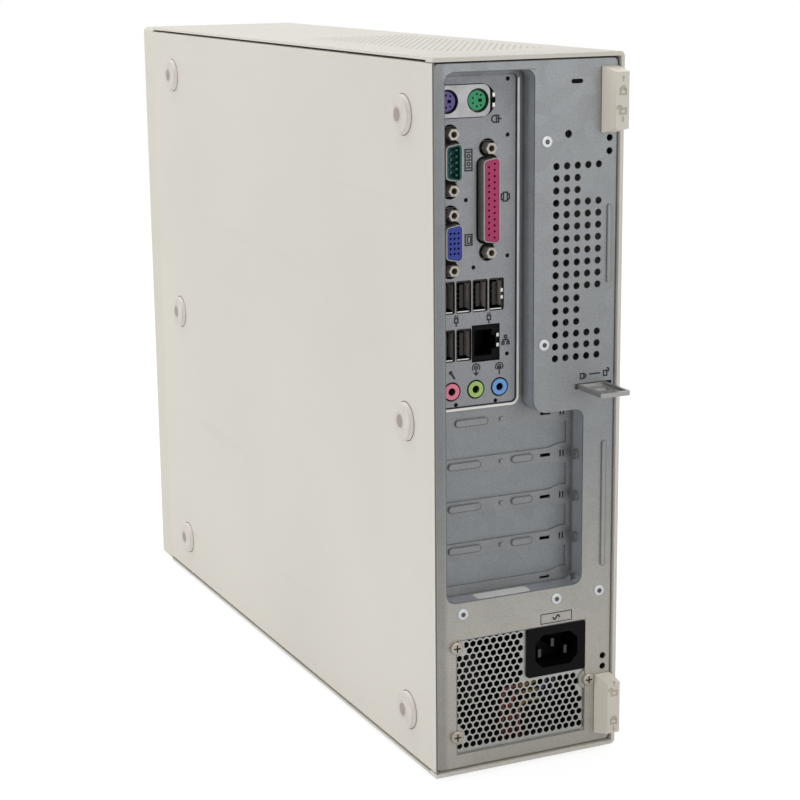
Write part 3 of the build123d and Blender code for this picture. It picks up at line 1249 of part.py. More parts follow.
for index, name in enumerate(("microphone_jack", "line_out_jack", "line_in_jack")):
    x, z = AUDIO[index]
    near = X_BOARD if index == 0 else x + AUDIO_PITCH / 2
    with BuildPart() as audio_jack:
        y_body = (Y_PORT_END, Y_SHIELD_BACK - FIT_GAP)
        block((x - AUDIO_PITCH / 2, near), y_body, about(z, AUDIO_BODY_HEIGHT))
        with BuildSketch(rear_plane(Y_PORT)):
            with Locations((x, z)):
                Circle(AUDIO_RING_RADIUS)
        extrude(amount=SHIELD_STEP)
        with BuildSketch(rear_plane(Y_PORT)):
            with Locations((x, z)):
                Circle(AUDIO_BORE_RADIUS)
        extrude(amount=AUDIO_BORE_DEPTH, mode=Mode.SUBTRACT)
    save(audio_jack, name)

# Power supply case, open at the rear and closed there by its perforated plate

X_PSU = (X_PSU_LOW, X_PSU_HIGH)
Z_PSU = (Z_PSU_LOW, Z_PSU_TOP)
INLET_X = (X_BASE - INLET_RIGHT, X_BASE - INLET_RIGHT + INLET_WIDTH)
INLET_Z = (Z_LOW + INLET_TOP - INLET_HEIGHT, Z_LOW + INLET_TOP)
INLET_CENTRE = ((INLET_X[0] + INLET_X[1]) / 2, (INLET_Z[0] + INLET_Z[1]) / 2)
INLET_BODY = (INLET_WIDTH - 2 * INLET_BODY_MARGIN, INLET_HEIGHT - 2 * INLET_BODY_MARGIN)

with BuildPart() as psu_case:
    block(X_PSU, (Y_PSU_END, Y_PSU_CASE), Z_PSU)
    fillet(psu_case.edges().filter_by(Axis.Y), PSU_CORNER)
    block(
        (X_PSU_LOW + PSU_SHEET, X_PSU_HIGH - PSU_SHEET),
        (Y_PSU_END + PSU_SHEET, Y_PSU_CASE + OVERRUN),
        (Z_PSU_LOW + PSU_SHEET, Z_PSU_TOP - PSU_SHEET),
        Mode.SUBTRACT,
    )
    with BuildSketch(Plane.XY.offset(Z_PSU_TOP + OVERRUN)):
        with Locations((X_PSU_MID, Y_PSU_FAN)):
            for inner, outer in PSU_GUARD_RINGS:
                Circle(outer)
                Circle(inner, mode=Mode.SUBTRACT)
            Rectangle(PSU_GUARD_SPOKE, PSU_FAN_SIZE, rotation=45, mode=Mode.SUBTRACT)
            Rectangle(PSU_GUARD_SPOKE, PSU_FAN_SIZE, rotation=-45, mode=Mode.SUBTRACT)
    extrude(amount=-PSU_SHEET - 2 * OVERRUN, mode=Mode.SUBTRACT)
save(psu_case, "psu_case")


def mesh_places():
    """Staggered places of the power supply's mesh, clear of the inlet and the screws."""
    row_gap = MESH_PITCH * MESH_ROW_SHARE
    x_limits = (PSU_CUT_X[0] + MESH_RADIUS, PSU_CUT_X[1])
    z_limits = (PSU_CUT_Z[0] + MESH_RADIUS, PSU_CUT_Z[1])
    columns = int((x_limits[1] - x_limits[0]) / MESH_PITCH) + 1
    rows = int((z_limits[1] - z_limits[0]) / row_gap) + 1
    reach = MESH_RADIUS + MESH_MARGIN
    places = []
    for row in range(rows):
        for column in range(columns):
            x = x_limits[1] - (column + (row % 2) / 2) * MESH_PITCH
            z = z_limits[1] - row * row_gap
            at_inlet = x < INLET_X[1] + reach and z > INLET_Z[0] - reach
            spans = [((x - s[0]) ** 2 + (z - s[1]) ** 2) ** 0.5 for s in PSU_SCREWS]
            if x > x_limits[0] and not at_inlet and min(spans) > PSU_SCREW_LAND + MESH_MARGIN:
                places.append((x, z))
    return places


with BuildPart() as psu_grille:
    with BuildSketch(rear_plane(Y_PANEL_IN)):
        with Locations((X_PSU_MID, (Z_PSU_LOW + Z_PSU_TOP) / 2)):
            RectangleRounded(PSU_WIDTH, PSU_HEIGHT, PSU_CORNER)
        with Locations(INLET_CENTRE):
            Rectangle(*INLET_BODY, mode=Mode.SUBTRACT)
        with Locations(*PSU_SCREWS):
            Circle(SCREW_SHANK_RADIUS + FIT_GAP, mode=Mode.SUBTRACT)
        with Locations(*mesh_places()):
            RegularPolygon(MESH_RADIUS, 6, rotation=30, mode=Mode.SUBTRACT)
    extrude(amount=PSU_SHEET)
save(psu_grille, "psu_grille")

with BuildPart() as psu_inlet:
    y_inlet = Y_PANEL + INLET_PROUD
    with BuildSketch(rear_plane(y_inlet)):
        with Locations(INLET_CENTRE):
            RectangleRounded(INLET_WIDTH, INLET_HEIGHT, INLET_CORNER)
    extrude(amount=y_inlet - Y_PANEL_IN)
    with BuildSketch(rear_plane(Y_PANEL_IN)):
        with Locations(INLET_CENTRE):
            Rectangle(INLET_BODY[0] - 2 * FIT_GAP, INLET_BODY[1] - 2 * FIT_GAP)
    extrude(amount=INLET_BODY_DEPTH)
    with BuildSketch(rear_plane(y_inlet)) as inlet_mouth:
        with Locations(INLET_CENTRE):
            Rectangle(INLET_CAVITY_WIDTH, INLET_CAVITY_HEIGHT)
        chamfer(inlet_mouth.vertices().group_by(Axis.Z)[-1], INLET_CHAMFER)
    extrude(amount=INLET_CAVITY_DEPTH, mode=Mode.SUBTRACT)
save(psu_inlet, "psu_inlet")

with BuildPart() as inlet_pins:
    y_pin = (y_inlet - INLET_CAVITY_DEPTH, y_inlet - INLET_CAVITY_DEPTH + PIN_LENGTH)
    for side, rise in ((-1, -1), (0, 1), (1, -1)):
        block(
            about(INLET_CENTRE[0] + side * PIN_SPREAD, PIN_WIDTH),
            y_pin,
            about(INLET_CENTRE[1] + rise * PIN_RISE, PIN_HEIGHT),
        )
save(inlet_pins, "inlet_pins")

# Power supply fan under the top of its case, and the circuit on its posts

Z_PSU_FAN = Z_PSU_TOP - PSU_SHEET - PSU_FAN_DEPTH
PSU_FAN_PLANE = Plane((X_PSU_MID, Y_PSU_FAN, Z_PSU_FAN))

with BuildPart() as psu_fan_frame:
    fan_frame_shape(PSU_FAN_PLANE, PSU_FAN_SIZE, PSU_FAN_DEPTH)
save(psu_fan_frame, "psu_fan_frame")

with BuildPart() as psu_fan_rotor:
    fan_rotor_shape(PSU_FAN_PLANE, PSU_FAN_SIZE, PSU_FAN_DEPTH)
save(psu_fan_rotor, "psu_fan_rotor")

Z_PSU_FLOOR = Z_PSU_LOW + PSU_SHEET
Z_PSU_BOARD = Z_PSU_FLOOR + PSU_BOARD_LIFT
PSU_BOARD_X = (X_PSU_LOW + PSU_BOARD_MARGIN, X_PSU_HIGH - PSU_BOARD_MARGIN)
PSU_BOARD_Y = (Y_PSU_END + PSU_BOARD_MARGIN, Y_PSU_CASE - INLET_BODY_DEPTH - PSU_BOARD_MARGIN)
PSU_PARTS_Z = Z_PSU_BOARD + BOARD_THICKNESS

with BuildPart() as psu_circuit:
    block(PSU_BOARD_X, PSU_BOARD_Y, (Z_PSU_BOARD, PSU_PARTS_Z))
    for x in (PSU_BOARD_X[0] + PSU_BOARD_MARGIN, PSU_BOARD_X[1] - PSU_BOARD_MARGIN):
        for y in (PSU_BOARD_Y[0] + PSU_BOARD_MARGIN, PSU_BOARD_Y[1] - PSU_BOARD_MARGIN):
            rod((x, y, Z_PSU_FLOOR + PSU_BOARD_LIFT / 2), PSU_POST_RADIUS, PSU_BOARD_LIFT, "z")
    y_mid = (PSU_BOARD_Y[0] + PSU_BOARD_Y[1]) / 2
    for side in (-1, 1):
        x = X_PSU_MID + side * PSU_CORE_WIDTH
        sink_z = (PSU_PARTS_Z, PSU_PARTS_Z + PSU_SINK_HEIGHT)
        block(about(x, PSU_SINK_SHEET), about(y_mid, PSU_SINK_LENGTH), sink_z)
    core_z = (PSU_PARTS_Z, PSU_PARTS_Z + PSU_CORE_HEIGHT)
    block(about(X_PSU_MID, PSU_CORE_WIDTH), about(y_mid, PSU_CORE_LENGTH), core_z)
    for step in (-1, 1):
        y_can = y_mid + step * (PSU_CORE_LENGTH + PSU_CAN_RADIUS)
        rod((X_PSU_MID, y_can, PSU_PARTS_Z + PSU_CAN_HEIGHT / 2), PSU_CAN_RADIUS, PSU_CAN_HEIGHT, "z")
save(psu_circuit, "psu_circuit")

# Coloured leads behind the mesh, from the case floor up to the back of the inlet

with BuildPart() as psu_leads:
    for index in range(LEAD_COUNT):
        x_far = INLET_CENTRE[0] + (index - (LEAD_COUNT - 1) / 2) * LEAD_PITCH
        x_near = x_far + LEAD_RUN
        y_lead = Y_PSU_CASE - LEAD_BEHIND
        z_lead = INLET_Z[0] + INLET_BODY_MARGIN - LEAD_BEND - (LEAD_COUNT - index) * LEAD_PITCH
        with BuildLine():
            FilletPolyline(
                (x_near, y_lead, Z_PSU_FLOOR),
                (x_near, y_lead, z_lead),
                (x_far, y_lead, z_lead),
                (x_far, y_lead, INLET_Z[0] + INLET_BODY_MARGIN),
                radius=LEAD_BEND,
            )
        with BuildSketch(Plane((x_near, y_lead, Z_PSU_FLOOR))):
            Circle(LEAD_RADIUS)
        sweep()
save(psu_leads, "psu_leads")

# Main board with its screws

with BuildPart() as motherboard:
    block((X_BOARD, X_BOARD_BACK), (Y_BOARD_REAR - BOARD_DEPTH, Y_BOARD_REAR), (Z_BOARD_LOW, Z_BOARD_TOP))
    with BuildSketch(side_plane(X_BOARD - OVERRUN)):
        with Locations(*BOARD_SCREWS):
            Circle(BOARD_HOLE_RADIUS)
    extrude(amount=BOARD_THICKNESS + 2 * OVERRUN, mode=Mode.SUBTRACT)
save(motherboard, "motherboard")

with BuildPart() as board_screws:
    shank = BOARD_THICKNESS + STANDOFF_HEIGHT / 2 - FIT_GAP
    for y, z in BOARD_SCREWS:
        rod((X_BOARD - BOARD_SCREW_RISE / 2, y, z), SCREW_HEAD_RADIUS, BOARD_SCREW_RISE, "x")
        rod((X_BOARD + shank / 2, y, z), SCREW_SHANK_RADIUS, shank, "x")
save(board_screws, "board_screws")

# Processor, its socket, heatsink and fan

CPU_PLACE = board_place(CPU_DEPTH_SHARE, CPU_HEIGHT_SHARE)
X_CPU = X_BOARD - CPU_SOCKET_RISE
X_SINK = X_CPU - CPU_RISE
X_CPU_FAN = X_SINK - SINK_HEIGHT
FIN_PITCH = (SINK_SIZE - FIN_SHEET) / (FIN_COUNT - 1)
CPU_FAN_PLANE = Plane(origin=(X_CPU_FAN, *CPU_PLACE), x_dir=(0, 1, 0), z_dir=(-1, 0, 0))

with BuildPart() as processor:
    block((X_CPU, X_BOARD), about(CPU_PLACE[0], CPU_SOCKET_SIZE), about(CPU_PLACE[1], CPU_SOCKET_SIZE))
    block((X_SINK, X_CPU), about(CPU_PLACE[0], CPU_SIZE), about(CPU_PLACE[1], CPU_SIZE))
save(processor, "processor")

with BuildPart() as cpu_heatsink:
    block((X_SINK - SINK_BASE, X_SINK), about(CPU_PLACE[0], SINK_SIZE), about(CPU_PLACE[1], SINK_SIZE))
    for fin in range(FIN_COUNT):
        z = CPU_PLACE[1] + (fin - (FIN_COUNT - 1) / 2) * FIN_PITCH
        block((X_CPU_FAN, X_SINK), about(CPU_PLACE[0], SINK_SIZE), about(z, FIN_SHEET))
save(cpu_heatsink, "cpu_heatsink")

with BuildPart() as cpu_fan_frame:
    fan_frame_shape(CPU_FAN_PLANE, CPU_FAN_SIZE, CPU_FAN_DEPTH)
save(cpu_fan_frame, "cpu_fan_frame")

with BuildPart() as cpu_fan_rotor:
    fan_rotor_shape(CPU_FAN_PLANE, CPU_FAN_SIZE, CPU_FAN_DEPTH)
save(cpu_fan_rotor, "cpu_fan_rotor")

# Memory, expansion sockets, chipset heatsink and small parts

MEMORY_MID = board_place(MEMORY_DEPTH_SHARE, MEMORY_HEIGHT_SHARE)
MEMORY_ROWS = [MEMORY_MID[0] + (i - (MEMORY_COUNT - 1) / 2) * MEMORY_PITCH for i in range(MEMORY_COUNT)]
X_MEMORY_SOCKET = X_BOARD - MEMORY_SOCKET_RISE
X_MEMORY_SEAT = X_MEMORY_SOCKET + MEMORY_SINK

with BuildPart() as board_sockets:
    for y in MEMORY_ROWS:
        socket_z = about(MEMORY_MID[1], MEMORY_SOCKET_LENGTH)
        block((X_MEMORY_SOCKET, X_BOARD), about(y, MEMORY_SOCKET_WIDTH), socket_z)
        slot_z = about(MEMORY_MID[1], MEMORY_LENGTH + 2 * FIT_GAP)
        slot_x = (X_MEMORY_SOCKET - OVERRUN, X_MEMORY_SEAT)
        block(slot_x, about(y, MEMORY_SHEET + 2 * FIT_GAP), slot_z, Mode.SUBTRACT)
    for z in Z_SLOTS:
        y_card = (Y_BOARD_REAR - CARD_SOCKET_START - CARD_SOCKET_LENGTH, Y_BOARD_REAR - CARD_SOCKET_START)
        block((X_BOARD - CARD_SOCKET_RISE, X_BOARD), y_card, about(z, CARD_SOCKET_WIDTH))
        groove_y = (y_card[0] + CARD_GROOVE, y_card[1] - CARD_GROOVE)
        groove_x = (X_BOARD - CARD_SOCKET_RISE - OVERRUN, X_BOARD - CARD_SOCKET_RISE + CARD_GROOVE_DEPTH)
        block(groove_x, groove_y, about(z, CARD_GROOVE), Mode.SUBTRACT)
save(board_sockets, "board_sockets")

with BuildPart() as memory_modules:
    for y in MEMORY_ROWS:
        module_x = (X_MEMORY_SEAT - MEMORY_RISE, X_MEMORY_SEAT)
        block(module_x, about(y, MEMORY_SHEET), about(MEMORY_MID[1], MEMORY_LENGTH))
save(memory_modules, "memory_modules")

CHIPSET = (
    Y_BOARD_REAR - CHIPSET_DEPTH_SHARE * BOARD_DEPTH,
    (Z_BOARD_LOW + MEMORY_MID[1] - MEMORY_SOCKET_LENGTH / 2) / 2,
)
CHIPSET_FIN_PITCH = (CHIPSET_SIZE - FIN_SHEET) / (CHIPSET_FIN_COUNT - 1)

with BuildPart() as chipset_heatsink:
    chip_y = about(CHIPSET[0], CHIPSET_SIZE)
    block((X_BOARD - CHIPSET_BASE, X_BOARD), chip_y, about(CHIPSET[1], CHIPSET_SIZE))
    for fin in range(CHIPSET_FIN_COUNT):
        z = CHIPSET[1] + (fin - (CHIPSET_FIN_COUNT - 1) / 2) * CHIPSET_FIN_PITCH
        block((X_BOARD - CHIPSET_RISE, X_BOARD), chip_y, about(z, FIN_SHEET))
save(chipset_heatsink, "chipset_heatsink")

CAN_MID = board_place(CAN_DEPTH_SHARE, CAN_HEIGHT_SHARE)
POWER_SOCKET = board_place(*POWER_SOCKET_SHARES)
CELL = board_place(*CELL_SHARES)

with BuildPart() as board_components:
    for index in range(CAN_COUNT):
        z = CAN_MID[1] + (index - (CAN_COUNT - 1) / 2) * CAN_PITCH
        rod((X_BOARD - CAN_RISE / 2, CAN_MID[0], z), CAN_RADIUS, CAN_RISE, "x")
    block(
        (X_BOARD - POWER_SOCKET_RISE, X_BOARD),
        about(POWER_SOCKET[0], POWER_SOCKET_WIDTH),
        about(POWER_SOCKET[1], POWER_SOCKET_LENGTH),
    )
    rod((X_BOARD - CELL_RISE / 2, *CELL), CELL_RADIUS, CELL_RISE, "x")
save(board_components, "board_components")

# Front chassis plate, pierced for the drive and the intake air

INTAKE = (X_BASE - INTAKE_SHARES[0] * BODY_WIDTH, Z_LOW + INTAKE_SHARES[1] * BODY_HEIGHT)

with BuildPart() as front_plate:
    flanged_panel(Y_SEAM, -FRONT_FLANGE)
    y_cut = (Y_SEAM - OVERRUN, Y_CHASSIS + OVERRUN)
    drive_x = about(X_DRIVE_MID, DRIVE_WIDTH + 2 * BRACKET_GAP)
    block(drive_x, y_cut, about(Z_DRIVE_MID, DRIVE_HEIGHT + 2 * BRACKET_GAP), Mode.SUBTRACT)
    with BuildSketch(rear_plane(Y_CHASSIS + OVERRUN)):
        with Locations(INTAKE):
            with GridLocations(INTAKE_WIDTH, INTAKE_WINDOW_PITCH, 1, INTAKE_WINDOW_COUNT):
                RectangleRounded(INTAKE_WIDTH, INTAKE_WINDOW_HEIGHT, RECESS_CORNER)
    extrude(amount=SHEET + 2 * OVERRUN, mode=Mode.SUBTRACT)
save(front_plate, "front_plate")


def cradle(x, z, length):
    """A sheet channel round a drive: a web on the board side and a flange above and below it."""
    gap = BRACKET_GAP + BRACKET_SHEET
    y = (Y_CHASSIS, Y_CHASSIS + length)
    block((x[0], x[1] + gap), y, (z[0] - gap, z[1] + gap))
    block((x[0] - OVERRUN, x[1] + BRACKET_GAP), y, (z[0] - BRACKET_GAP, z[1] + BRACKET_GAP), Mode.SUBTRACT)


with BuildPart() as drive_cage:
    cradle((X_DRIVE_LOW, X_DRIVE_HIGH), (Z_DRIVE_LOW, Z_DRIVE_TOP), BRACKET_LENGTH)
save(drive_cage, "drive_cage")

with BuildPart() as disk_bracket:
    cradle((X_DISK_LOW, X_DISK_HIGH), (Z_DISK_LOW, Z_DISK_TOP), DISK_BRACKET_LENGTH)
save(disk_bracket, "disk_bracket")

with BuildPart() as hard_disk:
    x_casting = (X_DISK_LOW + DISK_COVER_RISE, X_DISK_HIGH - DISK_BOARD)
    y_inner = (Y_DISK_FRONT + DISK_COVER_INSET, Y_DISK_END - DISK_COVER_INSET)
    z_inner = (Z_DISK_LOW + DISK_COVER_INSET, Z_DISK_TOP - DISK_COVER_INSET)
    block(x_casting, (Y_DISK_FRONT, Y_DISK_END), (Z_DISK_LOW, Z_DISK_TOP))
    block((X_DISK_LOW, x_casting[0]), y_inner, z_inner)
    block((x_casting[1], X_DISK_HIGH), y_inner, z_inner)
save(hard_disk, "hard_disk")

# Optical drive: case with tray runners, front, tray and eject button

TRAY_X = about(X_TRAY, TRAY_PLATE)
TRAY_Z = about(Z_DRIVE_MID, TRAY_PLATE_HEIGHT)

with BuildPart() as optical_drive_case:
    block((X_DRIVE_LOW, X_DRIVE_HIGH), (Y_DRIVE_FRONT, Y_DRIVE_END), (Z_DRIVE_LOW, Z_DRIVE_TOP))
    block(
        (X_DRIVE_LOW + DRIVE_SHEET, X_DRIVE_HIGH - DRIVE_SHEET),
        (Y_DRIVE_FRONT - OVERRUN, Y_DRIVE_END - DRIVE_SHEET),
        (Z_DRIVE_LOW + DRIVE_SHEET, Z_DRIVE_TOP - DRIVE_SHEET),
        Mode.SUBTRACT,
    )
    for side in (-1, 1):
        x_face = X_TRAY + side * (TRAY_PLATE / 2 + SLIDE_GAP)
        x_runner = (x_face, x_face + side * RUNNER_SHEET)
        y_runner = (Y_DRIVE_FRONT, Y_DRIVE_END)
        block(x_runner, y_runner, (Z_DRIVE_LOW, TRAY_Z[0] + RUNNER_REACH))
        block(x_runner, y_runner, (TRAY_Z[1] - RUNNER_REACH, Z_DRIVE_TOP))
save(optical_drive_case, "optical_drive_case")

with BuildPart() as optical_drive_front:
    block(
        about(X_DRIVE_MID, DRIVE_FRONT_WIDTH),
        (Y_TRAY_FRONT, Y_DRIVE_FRONT),
        about(Z_DRIVE_MID, DRIVE_FRONT_HEIGHT),
    )
    fillet(optical_drive_front.faces().sort_by(Axis.Y)[0].edges(), EDGE_ROUND)
    y_cut = (Y_FRONT - OVERRUN, Y_DRIVE_FRONT + OVERRUN)
    tray_z = about(Z_DRIVE_MID, TRAY_HEIGHT + 2 * SLIDE_GAP)
    block(about(X_TRAY, TRAY_WIDTH + 2 * SLIDE_GAP), y_cut, tray_z, Mode.SUBTRACT)
    eject_z = about(Z_EJECT, EJECT_HEIGHT + 2 * SLIDE_GAP)
    block(about(X_EJECT, EJECT_WIDTH + 2 * SLIDE_GAP), y_cut, eject_z, Mode.SUBTRACT)
save(optical_drive_front, "optical_drive_front")

with BuildPart() as optical_tray:
    y_door = (Y_TRAY_FRONT, Y_TRAY_FRONT + TRAY_DOOR)
    y_plate = (y_door[1], y_door[1] + TRAY_LENGTH)
    block(about(X_TRAY, TRAY_WIDTH), y_door, about(Z_DRIVE_MID, TRAY_HEIGHT))
    fillet(optical_tray.faces().sort_by(Axis.Y)[0].edges(), EDGE_ROUND)
    block(TRAY_X, y_plate, TRAY_Z)
    y_hub = y_plate[0] + TRAY_RIM + TRAY_DISH_RADIUS
    with BuildSketch(side_plane(TRAY_X[0])):
        with Locations((y_hub, Z_DRIVE_MID)):
            Circle(TRAY_DISH_RADIUS)
    extrude(amount=TRAY_DISH_DEPTH, mode=Mode.SUBTRACT)
    with BuildSketch(side_plane(TRAY_X[0])):
        with Locations((y_hub, Z_DRIVE_MID)):
            Circle(TRAY_HUB_RADIUS)
        with Locations((y_hub + TRAY_HUB_SLOT, Z_DRIVE_MID)):
            Rectangle(2 * TRAY_HUB_SLOT, 2 * TRAY_HUB_RADIUS)
    extrude(amount=TRAY_PLATE, mode=Mode.SUBTRACT)
save(optical_tray, "optical_tray")

with BuildPart() as optical_eject_button:
    y_button = (Y_TRAY_FRONT - EJECT_PROUD, Y_TRAY_FRONT - EJECT_PROUD + EJECT_LENGTH)
    block(about(X_EJECT, EJECT_WIDTH), y_button, about(Z_EJECT, EJECT_HEIGHT))
    fillet(optical_eject_button.faces().sort_by(Axis.Y)[0].edges(), EDGE_ROUND)
    block(
        about(X_EJECT, EJECT_WIDTH + 2 * EJECT_FLANGE),
        (Y_DRIVE_FRONT + SLIDE_GAP, Y_DRIVE_FRONT + SLIDE_GAP + EJECT_FLANGE),
        about(Z_EJECT, EJECT_HEIGHT + 2 * EJECT_FLANGE),
    )
save(optical_eject_button, "optical_eject_button")

# Front bezel: a rounded shell with the drive, intake, button, lamp and socket openings

BUTTON_Z = front_height(BUTTON_DROP_SHARE)
LAMP_Z = front_height(LAMP_DROP_SHARE)
FRONT_USB = [(X_CONTROL, front_height(share)) for share in FRONT_USB_DROP_SHARES]
FRONT_AUDIO = [(X_CONTROL, front_height(share)) for share in FRONT_AUDIO_DROP_SHARES]
Y_BEZEL_IN = Y_FRONT + BEZEL_WALL

with BuildPart() as front_bezel:
    block((X_COVER, X_BASE), (Y_FRONT, Y_SEAM), (Z_LOW, Z_TOP))
    fillet(front_bezel.edges().filter_by(Axis.Y), COVER_BEND)
    fillet(front_bezel.faces().sort_by(Axis.Y)[0].edges(), BEZEL_ROUND)
    block(
        (X_COVER + BEZEL_WALL, X_BASE - BEZEL_WALL),
        (Y_BEZEL_IN, Y_SEAM + OVERRUN),
        (Z_LOW + BEZEL_WALL, Z_TOP - BEZEL_WALL),
        Mode.SUBTRACT,
    )
    with BuildSketch(rear_plane(Y_BEZEL_IN + OVERRUN)):
        with Locations((X_DRIVE_MID, Z_DRIVE_MID)):
            Rectangle(DRIVE_FRONT_WIDTH + 2 * BEZEL_GAP, DRIVE_FRONT_HEIGHT + 2 * BEZEL_GAP)
        with Locations(INTAKE):
            with GridLocations(INTAKE_WIDTH, INTAKE_PITCH, 1, INTAKE_COUNT):
                SlotOverall(INTAKE_WIDTH, INTAKE_HEIGHT)
        with Locations((X_CONTROL, BUTTON_Z)):
            width = BUTTON_WIDTH + 2 * SLIDE_GAP
            RectangleRounded(width, BUTTON_HEIGHT + 2 * SLIDE_GAP, BUTTON_CORNER + SLIDE_GAP)
        with Locations((X_CONTROL, LAMP_Z)):
            Circle(LAMP_RADIUS + FIT_GAP)
        with Locations(*FRONT_USB):
            Rectangle(USB_WIDTH + 2 * PORT_GAP, USB_HEIGHT + 2 * PORT_GAP)
        with Locations(*FRONT_AUDIO):
            Circle(AUDIO_RING_RADIUS + PORT_GAP)
    extrude(amount=BEZEL_WALL + 2 * OVERRUN, mode=Mode.SUBTRACT)
save(front_bezel, "front_bezel")

# Front controls: the small board with its switch and posts, button, lamp and sockets

BOARD_MID_Z = front_height(FRONT_BOARD_DROP_SHARE)
Y_SWITCH = Y_FRONT_BOARD - SWITCH_RISE

with BuildPart() as front_board:
    y_board = (Y_FRONT_BOARD, Y_FRONT_BOARD + BOARD_THICKNESS)
    block(about(X_CONTROL, FRONT_BOARD_WIDTH), y_board, about(BOARD_MID_Z, FRONT_BOARD_HEIGHT))
    for side in (-1, 1):
        for step in (-1, 1):
            x = X_CONTROL + side * (FRONT_BOARD_WIDTH / 2 - 2 * FRONT_POST_RADIUS)
            z = BOARD_MID_Z + step * (FRONT_BOARD_HEIGHT / 2 - 2 * FRONT_POST_RADIUS)
            rod((x, Y_SEAM - FRONT_BOARD_GAP / 2, z), FRONT_POST_RADIUS, FRONT_BOARD_GAP, "y")
    block(about(X_CONTROL, SWITCH_SIZE), (Y_SWITCH, Y_FRONT_BOARD), about(BUTTON_Z, SWITCH_SIZE))
save(front_board, "front_board")

with BuildPart() as power_button:
    with BuildSketch(rear_plane(Y_FRONT + BUTTON_SINK)):
        with Locations((X_CONTROL, BUTTON_Z)):
            RectangleRounded(BUTTON_WIDTH, BUTTON_HEIGHT, BUTTON_CORNER)
    extrude(amount=-(BEZEL_WALL - BUTTON_SINK + SLIDE_GAP + BUTTON_FLANGE))
    fillet(power_button.faces().sort_by(Axis.Y)[0].edges(), EDGE_ROUND)
    with BuildSketch(rear_plane(Y_BEZEL_IN + SLIDE_GAP)):
        with Locations((X_CONTROL, BUTTON_Z)):
            width = BUTTON_WIDTH + 2 * BUTTON_FLANGE
            RectangleRounded(width, BUTTON_HEIGHT + 2 * BUTTON_FLANGE, BUTTON_CORNER)
    extrude(amount=-BUTTON_FLANGE)
    block(
        about(X_CONTROL, BUTTON_STEM),
        (Y_BEZEL_IN, Y_SWITCH - BUTTON_TRAVEL - SLIDE_GAP),
        about(BUTTON_Z, BUTTON_STEM),
    )
save(power_button, "power_button")

with BuildPart() as power_lamp:
    y_lamp = (Y_FRONT + BUTTON_SINK, Y_FRONT_BOARD)
    rod((X_CONTROL, (y_lamp[0] + y_lamp[1]) / 2, LAMP_Z), LAMP_RADIUS, y_lamp[1] - y_lamp[0], "y")
save(power_lamp, "power_lamp")

with BuildPart() as front_sockets:
    y_mouth = Y_FRONT + FRONT_SOCKET_SINK
    reach = Y_FRONT_BOARD - y_mouth
    with BuildSketch(rear_plane(Y_FRONT_BOARD)):
        with Locations(*FRONT_USB):
            Rectangle(USB_WIDTH, USB_HEIGHT)
        with Locations(*FRONT_AUDIO):
            Circle(AUDIO_RING_RADIUS)
    extrude(amount=reach)
    with BuildSketch(rear_plane(y_mouth)):
        with Locations(*FRONT_USB):
            Rectangle(USB_WIDTH - 2 * USB_SHELL, USB_HEIGHT - 2 * USB_SHELL)
            Rectangle(USB_TONGUE, USB_TONGUE_HEIGHT, mode=Mode.SUBTRACT)
        with Locations(*FRONT_AUDIO):
            Circle(AUDIO_BORE_RADIUS)
    extrude(amount=-AUDIO_BORE_DEPTH, mode=Mode.SUBTRACT)
save(front_sockets, "front_sockets")
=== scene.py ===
import logging
import math
from dataclasses import dataclass, field
from enum import Enum, auto
from typing import ClassVar, Dict, List, Sequence, Tuple, Union

import bmesh
import bpy
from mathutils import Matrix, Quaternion, Vector


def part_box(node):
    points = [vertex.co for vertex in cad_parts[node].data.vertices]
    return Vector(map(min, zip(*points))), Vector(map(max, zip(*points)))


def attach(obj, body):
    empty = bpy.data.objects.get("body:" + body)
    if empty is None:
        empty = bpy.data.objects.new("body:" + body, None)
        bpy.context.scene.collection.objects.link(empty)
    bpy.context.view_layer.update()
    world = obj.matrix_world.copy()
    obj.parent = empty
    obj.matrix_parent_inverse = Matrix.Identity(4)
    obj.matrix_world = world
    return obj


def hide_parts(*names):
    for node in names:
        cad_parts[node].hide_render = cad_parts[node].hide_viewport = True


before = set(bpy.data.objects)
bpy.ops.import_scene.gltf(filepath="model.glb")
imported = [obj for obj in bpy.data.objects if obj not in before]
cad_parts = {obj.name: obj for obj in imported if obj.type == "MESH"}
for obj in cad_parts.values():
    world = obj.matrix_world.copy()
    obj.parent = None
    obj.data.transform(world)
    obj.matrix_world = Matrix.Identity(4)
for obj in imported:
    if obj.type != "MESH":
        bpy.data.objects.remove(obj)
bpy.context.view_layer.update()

LOG = logging.getLogger("desktop_computer")
MM = 0.001
CHASSIS = "chassis"
DISC_SIDES = 28

Pair = Tuple[float, float]
Triple = Tuple[float, float, float]
Point = Pair
Colour = Triple
Key = Union[int, str]
Term = Union["Value", float]
Socket = bpy.types.NodeSocket


def srgb(red: int, green: int, blue: int) -> Colour:
    """Turn a display colour of 0 to 255 into a linear colour.

    Args:
        red: Red as displayed.
        green: Green as displayed.
        blue: Blue as displayed.

    Returns:
        The linear colour.
    """
    def linear(value: int) -> float:
        """Undo the display curve of one channel."""
        share = value / 255
        return share / 12.92 if share <= 0.04045 else ((share + 0.055) / 1.055) ** 2.4

    return linear(red), linear(green), linear(blue)


class Mark(Enum):
    """The generic pictograms that are printed or raised on the rear."""

    MOUSE = auto()
    SERIAL = auto()
    PRINTER = auto()
    SCREEN = auto()
    PLUG = auto()
    NETWORK = auto()
    MICROPHONE = auto()
    SOUND_OUT = auto()
    SOUND_IN = auto()
    LOCK = auto()
    UNLOCK = auto()
    DIVIDER = auto()
    MAINS = auto()
    ARROW_UP = auto()
    ARROW_DOWN = auto()


MarkPlaces = Tuple[Tuple[Mark, float, float], ...]


